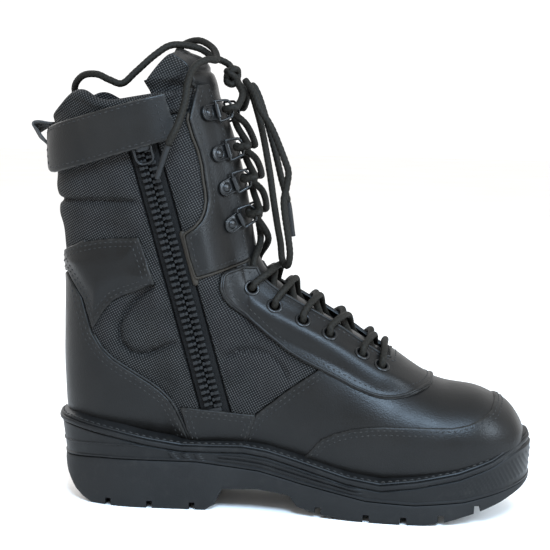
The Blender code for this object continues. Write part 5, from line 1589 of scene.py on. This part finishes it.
# ---------------------------------------------------------------- laces
def braid_mesh(path, diameter=LACE_D, sides=18, pitch=6.4, tip=0.0):
    """A round braid: strands that cross both ways round a core, with their ridge height at each point."""
    path = resample(path, 0.42)
    frames = frames_along(path)
    run = run_of(path)
    angle = 2 * math.pi * np.arange(sides) / sides
    a, s = np.meshgrid(angle, run)
    one = np.sin(4 * a + 2 * math.pi * s / pitch * 2)
    two = np.sin(4 * a - 2 * math.pi * s / pitch * 2)
    ridge = np.clip(0.5 + 0.5 * np.maximum(one, two) * np.where(np.abs(one) > np.abs(two), 1, 0.8), 0, 1)
    radius = diameter / 2 * (0.90 + 0.10 * ridge)
    radius *= 1 - 0.36 * smoothstep(run, run[-1] - tip - 1.5, run[-1] - tip + 0.5)[:, None] * (tip > 0)
    points, faces = tube_mesh(path, radius, sides, frames=frames)
    return points, faces, ridge.ravel(), path


LACE_ROWS = EYELET_STATIONS + CLIP_STATIONS
EYELET_ROWS = len(EYELET_STATIONS)
LAST_ROW = len(LACE_ROWS) - 1
TURN, RING_TURN = 3.7, 4.6


def through(row, side):
    """The lace's half turn down through an eyelet or round a ring's bow."""
    turns = (90, 48, 14, -14, -48, -90)
    if row < EYELET_ROWS:
        seat, axes = eyelet_seat(LACE_ROWS[row], side)
        middle, radius = seat + axes[:, 0] * TURN, TURN
    else:
        _, axes, pivot, ahead = clip_seat(LACE_ROWS[row], side)
        middle, radius, turns = pivot + ahead * RING_REACH, RING_TURN, turns[::-1]
    back, out = axes[:, 0] * radius, axes[:, 2] * radius
    return [middle - back * math.cos(a) + out * math.sin(a) for a in np.radians(turns)]


def half_lace(side, high_first):
    """One half of the lace, crossing from side to side up the boot."""
    route, here = [], side
    for row in range(LAST_ROW):
        route += through(row, here)
        t, above = LACE_ROWS[row], LACE_ROWS[row + 1]
        high = (row % 2 == 0) == high_first
        gap = float(lace_gap(t))
        across = 2 * (gap + EYELET_INSET)
        if row < EYELET_ROWS:
            part = (EYELET_INSET + 2.0) / across
            route.append(on_body(t + (above - t) * part, gap - 2.0, here, 3.2)[0])
        level = ((8.6, 9.4) if high else (3.6, 3.9))[row >= EYELET_ROWS]
        route.append(on_body((t + above) / 2, 0.0, 1, level)[0])
        if row < EYELET_ROWS - 1:
            part = (2 * gap + EYELET_INSET - 1.5) / across
            route.append(on_body(t + (above - t) * part, gap - 1.5, -here, 10.1)[0])
        here = -here
    return route + through(LAST_ROW, here)


KNOT = np.array((-43.5, 0.0, 273.0))


def make_laced_run():
    """The lace from the knot down one side, across the lowest row and up the other, and the knot's turns."""
    left, right = half_lace(1, True), half_lace(-1, False)
    t = LACE_ROWS[0]
    lowest = [on_body(t, a, side, h)[0] for side, a, h in ((1, 16.0, 10.1), (1, 0.0, 8.6), (-1, 16.0, 10.1))]
    ends = []
    for route in (left, right):
        ends.append([route[-1] + (KNOT - route[-1]) * 0.45 + np.array((4.5, 0, 0)), KNOT])
    whole = ends[0][::-1] + left[::-1] + lowest + right + ends[1]
    add_braid("lace_visual", [braid_mesh(smooth_route(whole, 0.6))], "lace")
    turns = []
    a = np.linspace(0, 2 * math.pi, 40, endpoint=False)
    for phase, tilt in ((0.0, 0.5), (2.1, -0.45), (4.2, 0.1)):
        loop = KNOT + np.stack([3.6 * np.cos(a), 4.6 * np.sin(a) * math.cos(tilt),
                                3.4 * np.sin(a + phase) + 4.0 * math.sin(tilt) * np.sin(a)], 1)
        turns.append(braid_mesh(smooth_route(np.vstack([loop, loop[:2]]), 0.6), diameter=4.3))
    add_braid("lace_knot_visual", turns)


def add_braid(name, parts, replaces=None):
    points, faces = join([(points, faces) for points, faces, _, _ in parts])
    ridge = np.concatenate([ridge for _, _, ridge, _ in parts])
    return add_mesh(name, BRAID, points, faces, attributes={"ridge": ridge}, replaces=replaces, outward=False)


LACE_FRONT = (
    (-34.7, -4.5, 270.5), (-28.0, -12, 262), (-24.0, -16, 253), (-17.5, -18, 243.5), (-13.0, -18, 234.5),
    (-7.0, -18, 220), (-5.0, -17, 213), (-6.0, -17, 204), (-7.5, -17, 196), (-6.5, -17, 186), (-3.8, -17, 170),
    (-3.0, -16, 161), (-4.8, -12, 154.2), (-8.5, -7, 157.5), (-10.0, -5, 168), (-12.0, -5, 178),
    (-15.0, -6, 195.5), (-18.0, -6, 214), (-23.0, -5, 238), (-28.5, -1, 256), (-31.8, 2.5, 264),
    (-30.7, 6.4, 267.5), (-26.5, 6, 260), (-20.5, 3, 243), (-15.0, 1, 225), (-10.5, 0, 208), (-6.0, 0, 193),
    (-2.5, 0, 172),
)
LACE_REAR = (
    (-44.0, 9.6, 277.0), (-48.0, 9.0, 281.5), (-57.0, 4, 285.5), (-66.0, -2, 290.5), (-80.0, -12, 291.5),
    (-90.0, -18, 285), (-101.0, -24, 274), (-109.0, -27, 266.5), (-117.0, -27, 268.5), (-126.0, -24, 272.0),
    (-136.5, -17, 271.0), (-143.5, -8, 264.0), (-143.0, 2, 254), (-137.0, 9, 243), (-122.0, 13, 237),
    (-104.0, 14, 240), (-92.0, 13, 252), (-86.0, 12, 270), (-82.0, 11, 284), (-77.0, 9, 292.5),
    (-66.0, 5, 295.5), (-55.5, -4, 290), (-51.5, -17, 282.5), (-56.0, -26.5, 282.0), (-62.5, -34, 277.5),
    (-65.5, -42, 268), (-66.5, -49, 254), (-69.5, -56.5, 241), (-74.5, -57.5, 230), (-82.0, -52.5, 209),
)
TIP_LENGTH = 22.0


def free_end(name, route):
    """A loose length of the lace, bound in a tip at its end."""
    braid = braid_mesh(smooth_route(route, 0.6), tip=TIP_LENGTH)
    made = add_braid(name + "_visual", [braid], name)
    path = braid[-1]
    run = run_of(path)
    tail = path[run > run[-1] - TIP_LENGTH]
    share = np.linspace(0, 1, len(tail))
    radius = 1.95 - 0.2 * smoothstep(share, 0.0, 0.9)
    radius[-1] = 1.55
    tip = add_mesh(name + "_tip", TIP, *tube_mesh(tail, radius, 20), sharp=50)


# ---------------------------------------------------------------- room, light and assembly
def make_room():
    """A pale floor that merges with a white room, and three soft area lights."""
    mesh = bmesh.new()
    bmesh.ops.create_grid(mesh, x_segments=2, y_segments=2, size=12.0)
    data = bpy.data.meshes.new("floor")
    mesh.to_mesh(data)
    mesh.free()
    data.materials.append(make_floor())
    floor = bpy.data.objects.new("floor", data)
    bpy.context.scene.collection.objects.link(floor)
    world = bpy.data.worlds.new("studio")
    world.use_nodes = True
    shade = next(n for n in world.node_tree.nodes if n.type == "BACKGROUND")
    shade.inputs["Color"].default_value = (1.0, 1.0, 1.0, 1.0)
    shade.inputs["Strength"].default_value = 1.1
    bpy.context.scene.world = world

    def panel_light(name, place, aim, size, power, tint=(1.0, 1.0, 1.0)):
        light = bpy.data.lights.new(name, "AREA")
        light.shape = "RECTANGLE"
        light.size, light.size_y = size
        light.energy = power
        light.color = tint
        made = bpy.data.objects.new(name, light)
        made.location = place
        made.rotation_euler = (Vector(aim) - Vector(place)).to_track_quat("-Z", "Y").to_euler()
        bpy.context.scene.collection.objects.link(made)

    panel_light("key", (0.25, -0.95, 0.95), (0, 0, 0.12), (0.5, 0.4), 30.0, (0.55, 0.76, 1.0))
    panel_light("front", (1.15, -0.55, 0.7), (0.05, 0, 0.1), (0.5, 0.6), 20.0, (0.72, 0.86, 1.0))
    panel_light("back", (-0.9, 0.9, 0.9), (0, 0, 0.15), (0.8, 0.8), 8.0)


def set_kept_nodes():
    """Materials of the inner CAD pieces that stay as they are."""
    for name, look in (("insole_board", BOARD), ("footbed", LINING_LOOK), ("heel_stiffener", BOARD),
                       ("shank", STEEL)):
        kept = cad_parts[name]
        kept.data.materials.clear()
        kept.data.materials.append(look)


make_laced_run()
free_end("lace_front", LACE_FRONT)
free_end("lace_rear", LACE_REAR)
make_shell()
make_overlays()
make_eyestay()
make_seams()
make_midsole()
make_outsole()
make_zip()
make_slider()
make_strap()
make_pull_loop()
make_eyelets()
make_clips()
set_kept_nodes()
make_room()
